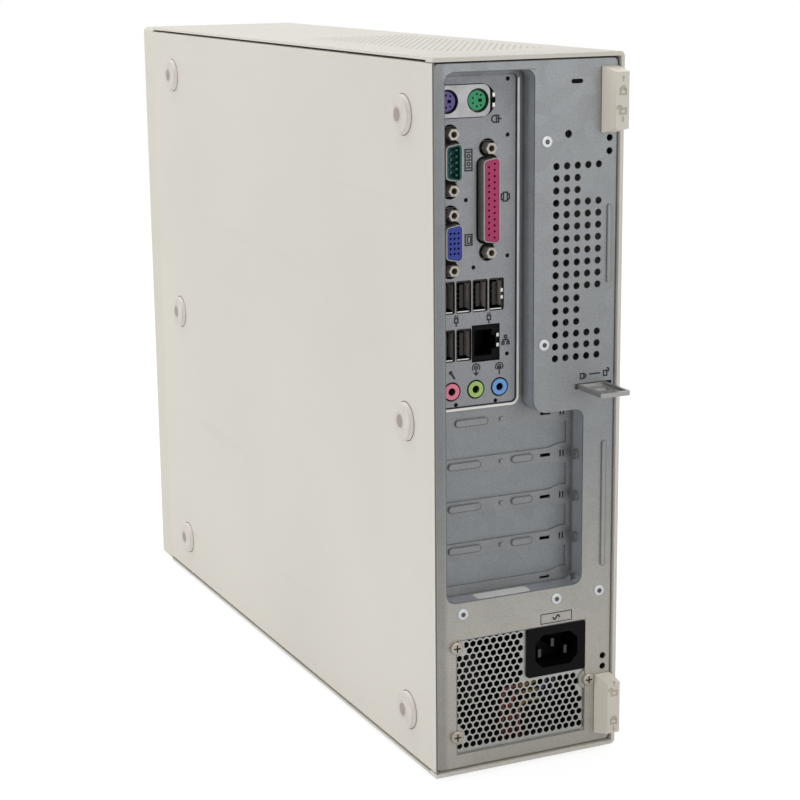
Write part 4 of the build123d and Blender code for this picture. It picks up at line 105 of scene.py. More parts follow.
class Value:
    """A number that varies over a surface or from point to point, written like any other."""

    def __init__(self, wiring: "Wiring", socket: Socket) -> None:
        """Wrap one output socket of a node."""
        self.wiring = wiring
        self.socket = socket

    def __add__(self, other: Term) -> "Value":
        """This value plus another."""
        return self.wiring.math("ADD", self, other)

    __radd__ = __add__

    def __mul__(self, other: Term) -> "Value":
        """This value times another."""
        return self.wiring.math("MULTIPLY", self, other)

    __rmul__ = __mul__

    def __sub__(self, other: Term) -> "Value":
        """This value less another."""
        return self.wiring.math("SUBTRACT", self, other)

    def __rsub__(self, other: float) -> "Value":
        """Another number less this value."""
        return self.wiring.math("SUBTRACT", other, self)

    def __gt__(self, other: Term) -> "Value":
        """One where this value is the larger."""
        return self.wiring.math("GREATER_THAN", self, other)

    def __lt__(self, other: Term) -> "Value":
        """One where this value is the smaller."""
        return self.wiring.math("LESS_THAN", self, other)


class Wiring:
    """A node tree that is filled in node by node."""

    def __init__(self, tree: bpy.types.NodeTree) -> None:
        """Take the tree that is filled in."""
        self.tree = tree

    def node(self, kind: str, settings: Dict[str, object], sockets: Dict[Key, object],
             out: Key = 0) -> Value:
        """Add any node.

        Args:
            kind: The node's type.
            settings: Attributes set before anything else, such as an operation.
            sockets: Input sockets by name or number, with their values or links.
            out: The output that is wanted.

        Returns:
            That output as a value.
        """
        made = self.tree.nodes.new(kind)
        for name, setting in settings.items():
            setattr(made, name, setting)
        for name, entry in sockets.items():
            self.feed(made.inputs[name], entry)
        return Value(self, made.outputs[out])

    def math(self, operation: str, *terms: Term) -> Value:
        """Add a Math node that works on some numbers or values in order."""
        return self.node("ShaderNodeMath", {"operation": operation}, dict(enumerate(terms)))

    def feed(self, socket: Socket, entry: object) -> None:
        """Fill an input.

        Args:
            socket: The input.
            entry: A value or a list of values to link, or a plain number, colour or setting.
        """
        if isinstance(entry, (list, Value)):
            for source in entry if isinstance(entry, list) else [entry]:
                self.tree.links.new(source.socket, socket)
        elif isinstance(entry, tuple) and len(entry) == 3 and socket.type == "RGBA":
            socket.default_value = (*entry, 1.0)
        else:
            socket.default_value = entry


class Shader(Wiring):
    """One material's node tree, with a principled surface."""

    def __init__(self, name: str) -> None:
        """Start an empty material.

        Args:
            name: The material's name.
        """
        self.material = bpy.data.materials.new(name)
        self.material.use_nodes = True
        super().__init__(self.material.node_tree)
        self.tree.nodes.clear()
        self.output = self.tree.nodes.new("ShaderNodeOutputMaterial")
        self.surface = self.tree.nodes.new("ShaderNodeBsdfPrincipled")
        self.tree.links.new(self.surface.outputs[0], self.output.inputs[0])
        self.place = self.node("ShaderNodeTexCoord", {}, {}, "Object")

    def noise(self, scale: float, detail: float = 3.0, stretch: Triple = (1, 1, 1)) -> Value:
        """Cloudy noise over the object.

        Args:
            scale: Clouds for each metre.
            detail: Octaves of finer clouds.
            stretch: Extra scale along each axis.

        Returns:
            The noise, about 0.5 on average.
        """
        spread = self.node("ShaderNodeMapping", {}, {"Vector": self.place, "Scale": stretch})
        return self.node("ShaderNodeTexNoise", {},
                         {"Vector": spread, "Scale": scale, "Detail": detail})

    def axis(self, name: str) -> Value:
        """One of the object's own coordinates, in metres."""
        return self.node("ShaderNodeSeparateXYZ", {}, {0: self.place}, name)

    def ramp(self, value: Value, low: float, high: float,
             start: float = 0.0, end: float = 1.0) -> Value:
        """Carry a value's range onto another, held at its ends.

        Args:
            value: The value.
            low: Where its range starts.
            high: Where its range ends.
            start: What the low end becomes.
            end: What the high end becomes.

        Returns:
            The carried value.
        """
        return self.node("ShaderNodeMapRange", {"clamp": True}, {
            "Value": value, "From Min": low, "From Max": high, "To Min": start, "To Max": end})

    def mix(self, factor: Term, first: object, second: object) -> Value:
        """Mix two colours.

        Args:
            factor: How much of the second colour shows.
            first: The first colour or value.
            second: The second colour or value.

        Returns:
            The mixed colour.
        """
        return self.node("ShaderNodeMix", {"data_type": "RGBA", "blend_type": "MIX"},
                         {0: factor, 6: first, 7: second}, 2)

    def bump(self, height: Value, distance: float, strength: float = 1.0) -> None:
        """Raise the surface by a height map.

        Args:
            height: The map, from 0 to about 1.
            distance: What a height of 1 stands for, in metres.
            strength: How much of it shows.
        """
        self.set(Normal=self.node("ShaderNodeBump", {}, {
            "Strength": strength, "Distance": distance, "Height": height}))

    def set(self, **sockets: object) -> None:
        """Set the surface's sockets, with underscores for blanks."""
        for name, entry in sockets.items():
            self.feed(self.surface.inputs[name.replace("_", " ")], entry)


@dataclass(frozen=True)
class Finish:
    """A surface finish: a name, a colour and how it is made."""

    name: str
    colour: Colour

    def paint(self, shader: Shader) -> None:
        """Fill in the surface's sockets."""
        shader.set(Base_Color=self.colour)

    def material(self) -> bpy.types.Material:
        """Give the finish's material, made the first time it is asked for.

        Returns:
            The material.
        """
        found = bpy.data.materials.get(self.name)
        if found:
            return found
        shader = Shader(self.name)
        self.paint(shader)
        return shader.material


def shade(colour: Colour, share: float) -> Colour:
    """Scale a colour's brightness.

    Args:
        colour: The colour.
        share: Its new brightness, where 1 leaves it alone.

    Returns:
        The scaled colour.
    """
    return tuple(min(1.0, part * share) for part in colour)


@dataclass(frozen=True)
class SprayedPaint(Finish):
    """Textured paint on sheet steel, with faint handling marks and settled dust."""

    roughness: float = 0.5
    grain: float = 1500.0
    dust: float = 0.06
    cloud_scale: ClassVar[float] = 7.0
    speckle_scale: ClassVar[float] = 1100.0
    scuff_scale: ClassVar[float] = 22.0
    scuff_stretch: ClassVar[Triple] = (1, 0.25, 2.5)
    gloss: ClassVar[float] = 0.4
    relief: ClassVar[float] = 0.06 * MM

    def paint(self, shader: Shader) -> None:
        """Lay the paint's speckle, handling marks and fine texture.

        Args:
            shader: The shader of the finish\'s material.
        """
        clouds = shader.noise(self.cloud_scale, 4.0)
        speckle = shader.ramp(shader.noise(self.speckle_scale, 2.0), 0.34, 0.66)
        scuffs = shader.noise(self.scuff_scale, 5.0, self.scuff_stretch)
        scuffs = shader.ramp(scuffs, 0.62, 0.78)
        tone = shader.mix(shader.ramp(clouds, 0.3, 0.7),
                          shade(self.colour, 0.965), shade(self.colour, 1.03))
        tone = shader.mix(speckle * 0.18, tone, shade(self.colour, 0.86))
        tone = shader.mix(scuffs * self.dust * 2.2, tone, shade(self.colour, 0.8))
        grain = shader.noise(self.grain, 2.0)
        shader.set(Base_Color=tone, Specular_IOR_Level=self.gloss,
                   Roughness=self.roughness + 0.12 * (clouds - 0.5) + scuffs * 0.12)
        shader.bump(grain + speckle * 0.4, self.relief, 0.5)


@dataclass(frozen=True)
class ZincSheet(Finish):
    """Zinc-plated sheet: a faint spangle, a fine grain and a satin gloss."""

    roughness: float = 0.42
    metallic: float = 0.85
    spangle: float = 0.10
    cell_scale: ClassVar[float] = 150.0
    grain_scale: ClassVar[float] = 1300.0
    cloud_scale: ClassVar[float] = 14.0
    relief: ClassVar[float] = 0.02 * MM

    def ground(self, shader: Shader) -> Union[Value, Colour]:
        """The plain colour that the spangle and grain are laid on."""
        return self.colour

    def paint(self, shader: Shader) -> None:
        """Lay the spangle, the fine grain and the dull patches.

        Args:
            shader: The shader of the finish\'s material.
        """
        cells = shader.node("ShaderNodeTexVoronoi", {},
                            {"Vector": shader.place, "Scale": self.cell_scale}, "Color")
        cell = shader.node("ShaderNodeSeparateColor", {}, {0: cells})
        grain = shader.noise(self.grain_scale, 2.0)
        clouds = shader.noise(self.cloud_scale, 4.0)
        tone = shader.mix(cell * self.spangle, self.ground(shader), (0.0, 0.0, 0.0))
        tone = shader.mix(shader.ramp(clouds, 0.35, 0.7) * 0.08, tone, (0.05, 0.05, 0.05))
        tone = shader.mix(shader.ramp(grain, 0.4, 0.65) * 0.16, tone, (0.04, 0.04, 0.04))
        shader.set(Base_Color=tone, Metallic=self.metallic,
                   Roughness=self.roughness + 0.16 * (clouds - 0.5) + 0.08 * (cell - 0.5))
        shader.bump(grain, self.relief, 0.3)


@dataclass(frozen=True)
class PanelSheet(ZincSheet):
    """Zinc-plated panel with painted light: warmer and paler towards its foot, and darker beside
    the pan as painted shade.
    """

    foot: Colour = (0.36, 0.35, 0.31)
    heights: Pair = (0.06, 0.16)
    strip: Pair = (0.040, 0.0425)
    pan_shade_share: ClassVar[float] = 0.26
    pan_shade_tone: ClassVar[Colour] = (0.02, 0.018, 0.015)

    def ground(self, shader: Shader) -> Union[Value, Colour]:
        """Fade from the foot's painted-light tone to the panel's own and lay painted shade on the
        strip beside the pan.

        Args:
            shader: The panel's shader.

        Returns:
            The ground tone.
        """
        tone = shader.mix(shader.ramp(shader.axis("Z"), *self.heights), self.foot, self.colour)
        # Painted shade on the strip beside the pan.
        beside = shader.ramp(shader.axis("X"), *self.strip)
        return shader.mix(beside * self.pan_shade_share, tone, self.pan_shade_tone)


@dataclass(frozen=True)
class RecessSheet(ZincSheet):
    """Zinc-plated recess with painted light and shade: paler walls and a darker floor."""

    floor: Colour = (0.18, 0.19, 0.2)
    depths: Pair = (0.1788, 0.1806)

    def ground(self, shader: Shader) -> Union[Value, Colour]:
        """Fade from the floor's painted-shade tone to the walls' painted-light tone."""
        return shader.mix(shader.ramp(shader.axis("Y"), *self.depths), self.floor, self.colour)


@dataclass(frozen=True)
class BrightPlate(Finish):
    """Bright plating on stamped and turned metal, a little dulled."""

    roughness: float = 0.25
    metallic: float = 1.0
    tarnish: float = 0.25
    cloud_scale: ClassVar[float] = 180.0
    scratch_scale: ClassVar[float] = 900.0
    scratch_stretch: ClassVar[Triple] = (1, 1, 0.08)
    relief: ClassVar[float] = 0.01 * MM

    def paint(self, shader: Shader) -> None:
        """Lay the plating with its dull patches and fine scratches.

        Args:
            shader: The shader of the finish\'s material.
        """
        clouds = shader.noise(self.cloud_scale, 4.0)
        scratches = shader.noise(self.scratch_scale, 2.0, self.scratch_stretch)
        scratches = shader.ramp(scratches, 0.58, 0.72)
        dull = shader.ramp(clouds, 0.4, 0.75) * self.tarnish
        tone = shader.mix(dull, self.colour, shade(self.colour, 0.62))
        shader.set(Base_Color=tone, Metallic=self.metallic,
                   Roughness=self.roughness + 0.2 * shader.ramp(clouds, 0.35, 0.75)
                   + 0.1 * scratches)
        shader.bump(scratches, self.relief, 0.4)


@dataclass(frozen=True)
class MouldedPlastic(Finish):
    """Moulded plastic with a fine grain and slight yellowing."""

    roughness: float = 0.45
    gloss: float = 0.45
    mottle: float = 0.06
    grain: float = 1800.0
    cloud_scale: ClassVar[float] = 40.0
    relief: ClassVar[float] = 0.04 * MM

    def tint(self, shader: Shader, tone: Value) -> Value:
        """The tone that is laid in the end, here as it is, without painted shade."""
        return tone

    def paint(self, shader: Shader) -> None:
        """Lay the plastic's mottling and its grain.

        Args:
            shader: The shader of the finish\'s material.
        """
        clouds = shader.noise(self.cloud_scale, 4.0)
        speckle = shader.noise(self.grain, 2.0)
        tone = shader.mix(shader.ramp(clouds, 0.3, 0.7), shade(self.colour, 1 - self.mottle),
                          shade(self.colour, 1 + self.mottle))
        flecks = shader.ramp(speckle, 0.55, 0.8) * 0.12
        tone = self.tint(shader, shader.mix(flecks, tone, shade(self.colour, 0.8)))
        shader.set(Base_Color=tone, Roughness=self.roughness + 0.14 * (clouds - 0.5),
                   Specular_IOR_Level=self.gloss)
        shader.bump(speckle, self.relief, 0.5)


@dataclass(frozen=True)
class DepthPlastic(MouldedPlastic):
    """Moulded plastic with painted shade, darker at one end of its depth."""

    share: float = 0.09
    span: Pair = (0.1795, 0.1783)

    def tint(self, shader: Shader, tone: Value) -> Value:
        """Fade to the painted-shade tone along the depth."""
        fade = shader.ramp(shader.axis("Y"), *self.span)
        return shader.mix(fade, tone, shade(self.colour, self.share))


@dataclass(frozen=True)
class SoftRubber(Finish):
    """Soft matt rubber with a dusty bloom and a paler rim near the base side's plane, painted light
    on the foot's side wall.
    """

    rim: Pair = (0.0487, 0.0495)
    bloom_scale: ClassVar[float] = 120.0
    pit_scale: ClassVar[float] = 2600.0
    roughness: ClassVar[float] = 0.72
    gloss: ClassVar[float] = 0.3
    relief: ClassVar[float] = 0.04 * MM

    def paint(self, shader: Shader) -> None:
        """Lay the rubber's bloom, its paler rim of painted light and its fine pits.

        Args:
            shader: The shader of the finish\'s material.
        """
        bloom = shader.noise(self.bloom_scale, 5.0)
        pits = shader.noise(self.pit_scale, 1.0)
        tone = shader.mix(shader.ramp(bloom, 0.35, 0.7) * 0.5,
                          shade(self.colour, 0.9), shade(self.colour, 1.12))
        # Painted light: the foot's side wall near the base side's plane is paler.
        inside = shader.ramp(shader.axis("X"), *self.rim)
        tone = shader.mix(inside, shade(self.colour, 1.3), tone)
        shader.set(Base_Color=tone, Roughness=self.roughness + 0.16 * (bloom - 0.5),
                   Specular_IOR_Level=self.gloss)
        shader.bump(pits, self.relief, 0.5)


@dataclass(frozen=True)
class CircuitBoard(Finish):
    """Lacquered circuit board with copper runs and small pads under the lacquer."""

    run_scale: ClassVar[float] = 210.0
    run_edge: ClassVar[Pair] = (0.05, 0.09)
    pad_scale: ClassVar[float] = 330.0
    pad_radius: ClassVar[float] = 0.16
    pad_tone: ClassVar[Colour] = (0.55, 0.53, 0.46)
    roughness: ClassVar[float] = 0.32
    relief: ClassVar[float] = 0.05 * MM

    def paint(self, shader: Shader) -> None:
        """Lay the runs and pads under the lacquer.

        Args:
            shader: The shader of the finish\'s material.
        """
        cells = shader.node("ShaderNodeTexVoronoi", {"feature": "DISTANCE_TO_EDGE"},
                            {"Vector": shader.place, "Scale": self.run_scale})
        runs = shader.ramp(cells, *self.run_edge)
        pads = shader.node("ShaderNodeTexVoronoi", {},
                           {"Vector": shader.place, "Scale": self.pad_scale})
        dots = pads < self.pad_radius
        tone = shader.mix(runs, shade(self.colour, 1.55), self.colour)
        tone = shader.mix(dots * 0.75, tone, self.pad_tone)
        shader.set(Base_Color=tone, Roughness=self.roughness + 0.18 * runs, Metallic=dots * 0.6)
        shader.bump(runs * -0.6 + dots, self.relief, 0.5)


@dataclass(frozen=True)
class ColouredLeads(Finish):
    """Glossy lead insulation, a different colour for each lead across the case."""

    second: Colour = (0.8, 0.55, 0.02)
    third: Colour = (0.05, 0.12, 0.5)
    places: Pair = (0.0, 0.0)
    mottle_scale: ClassVar[float] = 300.0
    roughness: ClassVar[float] = 0.3

    def paint(self, shader: Shader) -> None:
        """Give each lead its colour by its place across the case.

        Args:
            shader: The shader of the finish\'s material.
        """
        across = shader.axis("X")
        first = shader.mix(across > self.places[0], self.colour, self.second)
        tone = shader.mix(across > self.places[1], first, self.third)
        mottle = shader.noise(self.mottle_scale, 3.0)
        tone = shader.mix(shader.ramp(mottle, 0.4, 0.7) * 0.25, tone, (0.02, 0.02, 0.02))
        shader.set(Base_Color=tone, Roughness=self.roughness + 0.2 * mottle)


@dataclass(frozen=True)
class TintedLens(Finish):
    """A tinted lamp lens with a soft glow."""

    ripple_scale: ClassVar[float] = 900.0
    roughness: ClassVar[float] = 0.12
    glow: ClassVar[float] = 0.3

    def paint(self, shader: Shader) -> None:
        """Lay the lens's tint and its moulded ripple.

        Args:
            shader: The shader of the finish\'s material.
        """
        ripple = shader.noise(self.ripple_scale, 2.0)
        tone = shader.mix(ripple, shade(self.colour, 0.8), shade(self.colour, 1.2))
        shader.set(Base_Color=tone, Roughness=self.roughness + 0.1 * ripple,
                   Emission_Color=tone, Emission_Strength=self.glow)


@dataclass(frozen=True)
class PrintedInk(Finish):
    """Thin printed ink, slightly worn."""

    wear_scale: ClassVar[float] = 1600.0
    worn_tone: ClassVar[Colour] = (0.2, 0.2, 0.2)
    roughness: ClassVar[float] = 0.55

    def paint(self, shader: Shader) -> None:
        """Lay the ink with its worn flecks.

        Args:
            shader: The shader of the finish\'s material.
        """
        wear = shader.ramp(shader.noise(self.wear_scale, 3.0), 0.6, 0.8)
        tone = shader.mix(wear * 0.2, self.colour, self.worn_tone)
        shader.set(Base_Color=tone, Roughness=self.roughness + 0.2 * wear)


@dataclass(frozen=True)
class LabelPaper(Finish):
    """Coated paper with faint fibres."""

    fibre_scale: ClassVar[float] = 2200.0
    fibre_stretch: ClassVar[Triple] = (1, 3, 1)
    cloud_scale: ClassVar[float] = 90.0
    roughness: ClassVar[float] = 0.5
    relief: ClassVar[float] = 0.02 * MM

    def paint(self, shader: Shader) -> None:
        """Lay the paper's fibres and slight yellowing.

        Args:
            shader: The shader of the finish\'s material.
        """
        fibres = shader.noise(self.fibre_scale, 4.0, self.fibre_stretch)
        clouds = shader.noise(self.cloud_scale, 3.0)
        aged = shader.ramp(clouds, 0.35, 0.7) * 0.5
        tone = shader.mix(aged, self.colour, shade(self.colour, 0.9))
        tone = shader.mix(shader.ramp(fibres, 0.5, 0.8) * 0.3, tone, shade(self.colour, 0.8))
        shader.set(Base_Color=tone, Roughness=self.roughness + 0.25 * fibres)
        shader.bump(fibres, self.relief, 0.4)


PAINT = SprayedPaint("textured_grey_paint", srgb(216, 212, 203))
# The panel's warmer, paler foot is a painted reflection of the white floor, and its strip beside
# the pan is painted shade.
PANEL = PanelSheet("zinc_plated_panel", srgb(152, 155, 157), 0.45, 0.75, 0.06,
                   srgb(190, 187, 178))
# The recess's paler walls and darker floor are painted light and shade.
RECESS = RecessSheet("zinc_plated_recess", srgb(198, 202, 208), 0.45, 0.75, 0.06,
                     srgb(148, 150, 151))
BLANK = ZincSheet("zinc_plated_slot_cover", srgb(146, 150, 153), 0.45, 0.75, 0.06)
ZINC = ZincSheet("zinc_plated_sheet", srgb(132, 134, 136))
# The shield darkens towards its top as painted shadow from the panel's top edge.
SHIELD_TIN = PanelSheet("tinned_shield", srgb(128, 130, 134), 0.42, 0.75, 0.04,
                        srgb(147, 149, 153), (0.29, 0.322))
TAB_STEEL = ZincSheet("lock_tab_steel", srgb(182, 181, 178), 0.3, 0.85, 0.05)
GRILLE = BrightPlate("plated_mesh", srgb(186, 186, 182), 0.34)
PLATE = BrightPlate("plated_socket_plate", srgb(164, 164, 165), 0.34)
SHELL = BrightPlate("plated_connector_shell", srgb(166, 164, 160), 0.3, 0.55, 0.5)
USB_SHELL = BrightPlate("dark_usb_shell", srgb(66, 62, 58), 0.3, 1.0, 0.5)
# The USB walls are painted light: pale strips on the shells' side walls, which lie in shade.
USB_WALL = BrightPlate("usb_wall_painted_light", srgb(216, 208, 200), 0.3, 0.3, 0.6)
# Bright spring metal, also used for the painted highlight on the shield's ridge.
SPRING_AND_HIGHLIGHT = BrightPlate("bright_spring_tab_and_ridge_highlight", srgb(222, 221, 218), 0.3, 0.7, 0.05)
NICKEL = BrightPlate("nickel_fastener", srgb(184, 177, 166), 0.28, 0.55, 0.6)
REAR_SCREW = BrightPlate("rear_screw_nickel", srgb(192, 184, 172), 0.22, 0.85, 0.6)
RIVET = BrightPlate("bright_rivet", srgb(214, 216, 218), 0.34, 0.8, 0.1)
RIVET_CORE = BrightPlate("dull_rivet_core", srgb(56, 54, 52), 0.5, 0.5)
CONTACT = BrightPlate("gold_contact", srgb(206, 166, 92), 0.25)
ALUMINIUM = BrightPlate("milled_aluminium", srgb(208, 209, 212), 0.34)
BEZEL = MouldedPlastic("cream_moulding", srgb(213, 209, 197), 0.5, 0.45, 0.015)
# The latches' crowns are painted shade, darker than their sides.
LATCH = DepthPlastic("latch_moulding", srgb(242, 235, 221), 0.42, 0.45, 0.03, 1800.0,
                     0.8, (0.1981, 0.1986))
LATCH_LINE = MouldedPlastic("latch_raised_line", srgb(186, 178, 163), 0.5)
# The feet's paler side walls are painted light.
RUBBER = SoftRubber("pale_foot_rubber", srgb(219, 213, 207))
HOLLOW = SoftRubber("darker_foot_hollow", srgb(212, 205, 199))
# The foot dimple is painted shade in the foot's hole.
DIMPLE = SoftRubber("foot_dimple_painted_shade", srgb(170, 160, 151))
# Black moulding, also used for the painted shade behind the shield's gaps and holes.
BLACK = MouldedPlastic("black_moulding_and_gap_shade", srgb(5, 5, 6), 0.5, 0.12)
TONGUE = MouldedPlastic("grey_socket_tongue", srgb(24, 22, 20), 0.4)
# Dark grey moulding, also used for the painted shade in the screws' cross recesses.
DARK = MouldedPlastic("dark_grey_moulding_and_cross_shade", srgb(44, 45, 48), 0.5, 0.3)
PURPLE = MouldedPlastic("keyboard_purple_moulding", srgb(98, 86, 146), 0.42)
GREEN = MouldedPlastic("mouse_green_moulding", srgb(44, 152, 100), 0.42)
TEAL = MouldedPlastic("serial_teal_moulding", srgb(30, 92, 90), 0.42)
BLUE = MouldedPlastic("display_blue_moulding", srgb(44, 58, 150), 0.42)
MAGENTA = MouldedPlastic("parallel_magenta_moulding", srgb(168, 42, 96), 0.42)
# The jacks darken towards the back of their bores as painted shade.
PINK = DepthPlastic("microphone_pink_moulding", srgb(238, 136, 160), 0.42)
LIME = DepthPlastic("line_out_lime_moulding", srgb(170, 200, 112), 0.42)
SKY = DepthPlastic("line_in_blue_moulding", srgb(108, 160, 220), 0.42)
BOARD = CircuitBoard("green_circuit_board", srgb(36, 104, 62))
SUPPLY_BOARD = CircuitBoard("brown_circuit_board", srgb(48, 38, 28))
PIN = BrightPlate("dull_inlet_pin", srgb(84, 82, 78), 0.3)
LENS = TintedLens("lamp_lens", srgb(120, 215, 120))
# Dark printed ink, also used for the painted shade in the shield's groove.
INK_AND_GROOVE_SHADE = PrintedInk("dark_printed_ink_and_groove_shade", srgb(24, 24, 26))
# Painted shade along pressed and cut edges, round the feet and on the pan's edge; the wall bosses'
# dark caps use it too.
DARK_SHADE_AND_CAPS = PrintedInk("painted_shade_and_dark_caps", srgb(108, 110, 111))
# Fainter painted shade along the panel's bead edges.
FAINT_EDGE_SHADE = PrintedInk("faint_painted_edge_shade", srgb(134, 134, 131))
PAPER = LabelPaper("white_label_paper", srgb(252, 252, 249))


def dress(finish: Finish, *nodes: str) -> None:
    """Give CAD nodes a finish.

    Args:
        finish: The finish.
        nodes: The nodes' names.
    """
    for name in nodes:
        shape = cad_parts[name]
        shape.data.materials.clear()
        shape.data.materials.append(finish.material())
        LOG.info("dressed %s in %s", name, finish.name)


def to_mesh(shape: bmesh.types.BMesh, name: str) -> bpy.types.Mesh:
    """Close a built shape into a plain mesh whose faces point outwards.

    Args:
        shape: The shape, which is freed.
        name: The mesh's name.

    Returns:
        The mesh.
    """
    bmesh.ops.recalc_face_normals(shape, faces=shape.faces)
    mesh = bpy.data.meshes.new(name)
    shape.to_mesh(mesh)
    shape.free()
    return mesh


def link_piece(name: str, mesh: bpy.types.Mesh, finish: Finish,
               body: str = CHASSIS) -> bpy.types.Object:
    """Put a finished mesh into the scene as a piece that rides on a body.

    Args:
        name: The piece's name.
        mesh: Its mesh, already in place.
        finish: Its finish.
        body: The body it rides on.

    Returns:
        The piece.
    """
    piece = bpy.data.objects.new(name, mesh)
    bpy.context.scene.collection.objects.link(piece)
    if not mesh.materials:
        mesh.materials.append(finish.material())
    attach(piece, body)
    LOG.info("built %s", name)
    return piece


class NodeTree(Wiring):
    """A Geometry Nodes tree that turns a few points and sizes into a repeated mesh."""

    def __init__(self, name: str, inputs: Dict[str, str]) -> None:
        """Start a tree with named inputs, and one more for its finish.

        Args:
            name: The tree's name.
            inputs: Each input's kind of socket, by the input's name.
        """
        super().__init__(bpy.data.node_groups.new(name, "GeometryNodeTree"))
        self.names: Dict[str, str] = {}
        for label, kind in {"Geometry": "Geometry", **inputs, "Finish": "Material"}.items():
            item = self.tree.interface.new_socket(
                name=label, in_out="INPUT", socket_type="NodeSocket" + kind)
            self.names[label] = item.identifier
        self.tree.interface.new_socket(
            name="Geometry", in_out="OUTPUT", socket_type="NodeSocketGeometry")
        self.start = self.tree.nodes.new("NodeGroupInput")
        self.end = self.tree.nodes.new("NodeGroupOutput")

    def given(self, name: str) -> Value:
        """One of the tree's inputs."""
        return Value(self, self.start.outputs[name])

    def repeat(self, points: Value, shape: Value) -> Value:
        """Stand a shape on every point."""
        return self.node("GeometryNodeInstanceOnPoints", {}, {"Points": points, "Instance": shape})

    def close(self, shape: Value) -> None:
        """Make the instances real, give them their material and end the tree.

        Args:
            shape: What the tree has made.
        """
        real = self.node("GeometryNodeRealizeInstances", {}, {0: shape})
        done = self.node("GeometryNodeSetMaterial", {},
                         {"Geometry": real, "Material": self.given("Finish")})
        self.feed(self.end.inputs[0], done)

    def grow(self, name: str, points: Sequence[Triple],
             values: Dict[str, object]) -> bpy.types.Mesh:
        """Run the tree on some points.

        Args:
            name: The mesh's name.
            points: The places that the tree repeats its shape at.
            values: The tree's inputs by name.

        Returns:
            The finished plain mesh.
        """
        base = bpy.data.meshes.new(name + "_places")
        base.from_pydata(list(points), [], [])
        carrier = bpy.data.objects.new(name + "_carrier", base)
        bpy.context.scene.collection.objects.link(carrier)
        modifier = carrier.modifiers.new("repeat", "NODES")
        modifier.node_group = self.tree
        for label, value in values.items():
            modifier[self.names[label]] = value
        carrier.update_tag()
        graph = bpy.context.evaluated_depsgraph_get()
        mesh = bpy.data.meshes.new_from_object(carrier.evaluated_get(graph))
        mesh.name = name
        carrier.modifiers.remove(modifier)
        bpy.data.objects.remove(carrier)
        bpy.data.meshes.remove(base)
        return mesh

    def piece(self, name: str, points: Sequence[Triple], sizes: Dict[str, object],
              finish: Finish, slot: str, body: str = CHASSIS) -> None:
        """Run the tree on some points and put the result into the scene.

        Args:
            name: The piece's name.
            points: The places that the tree repeats its shape at.
            sizes: The tree's inputs by name, apart from its finish.
            finish: The piece's finish.
            slot: A material slot's name; it is not used.
            body: The body it rides on.
        """
        mesh = self.grow(name, points, {**sizes, "Finish": finish.material()})
        link_piece(name, mesh, finish, body)


def strip_tree() -> NodeTree:
    """A tree that stands a small block of one size on every point.

    Returns:
        The tree, with inputs Size and Finish.
    """
    tree = NodeTree("repeated_strips", {"Size": "Vector"})
    block = tree.node("GeometryNodeMeshCube", {}, {"Size": tree.given("Size")})
    tree.close(tree.repeat(tree.given("Geometry"), block))
    return tree


def disc_tree() -> NodeTree:
    """A tree that lays a round disc, facing the base side, on every point.

    Returns:
        The tree, with inputs Radius, Sheet and Finish.
    """
    tree = NodeTree("repeated_discs", {"Radius": "Float", "Sheet": "Float"})
    disc = tree.node("GeometryNodeMeshCylinder", {}, {
        "Vertices": DISC_SIDES, "Radius": tree.given("Radius"), "Depth": tree.given("Sheet")})
    turned = tree.node("GeometryNodeTransform", {},
                       {"Geometry": disc, "Rotation": (0.0, math.pi / 2, 0.0)})
    tree.close(tree.repeat(tree.given("Geometry"), turned))
    return tree


def perforation_tree() -> NodeTree:
    """A tree that fills a rectangle with staggered rows of pierced tiles.

    Odd and even rows stand a quarter of a pitch to either side of the middle, and a blank
    half tile closes each row at its short end.

    Returns:
        The tree, with inputs Columns, Rows, Pitch, Row Gap, Sheet, Centre, Tile and Finish.
    """
    tree = NodeTree("staggered_perforation", {
        "Columns": "Int", "Rows": "Int", "Pitch": "Float", "Row Gap": "Float",
        "Sheet": "Float", "Centre": "Vector", "Tile": "Object"})
    pitch, gap = tree.given("Pitch"), tree.given("Row Gap")
    columns, rows = tree.given("Columns"), tree.given("Rows")
    wide, deep = (columns - 1.0) * pitch, (rows - 1.0) * gap
    grid = tree.node("GeometryNodeMeshGrid", {}, {
        "Size X": wide, "Size Y": deep, "Vertices X": columns, "Vertices Y": rows})
    place = tree.node("GeometryNodeInputPosition", {}, {})
    along = tree.node("ShaderNodeSeparateXYZ", {}, {0: place}, "Y")
    row = tree.math("ROUND", tree.math("DIVIDE", along, gap))
    odd = tree.math("ABSOLUTE", tree.math("FLOORED_MODULO", row, 2.0))
    side = odd * 2.0 - 1.0
    shift = tree.node("ShaderNodeCombineXYZ", {}, {"X": side * pitch * 0.25})
    spread = tree.node("GeometryNodeSetPosition", {}, {"Geometry": grid, "Offset": shift})
    tile = tree.node("GeometryNodeObjectInfo", {}, {"Object": tree.given("Tile")}, "Geometry")
    pierced = tree.repeat(spread, tile)
    ends = tree.node("GeometryNodeMeshGrid", {}, {
        "Size X": 0.0, "Size Y": deep, "Vertices X": 2, "Vertices Y": rows})
    aside = tree.node("ShaderNodeCombineXYZ", {}, {"X": side * ((wide + pitch) * -0.5)})
    edge = tree.node("GeometryNodeSetPosition", {}, {"Geometry": ends, "Offset": aside})
    edge = tree.node("GeometryNodeMergeByDistance", {}, {"Geometry": edge})
    size = tree.node("ShaderNodeCombineXYZ", {},
                     {"X": pitch * 0.5, "Y": gap, "Z": tree.given("Sheet")})
    filler = tree.repeat(edge, tree.node("GeometryNodeMeshCube", {}, {"Size": size}))
    both = tree.node("GeometryNodeJoinGeometry", {}, {0: [pierced, filler]})
    tree.close(tree.node("GeometryNodeTransform", {},
                         {"Geometry": both, "Translation": tree.given("Centre")}))
    return tree


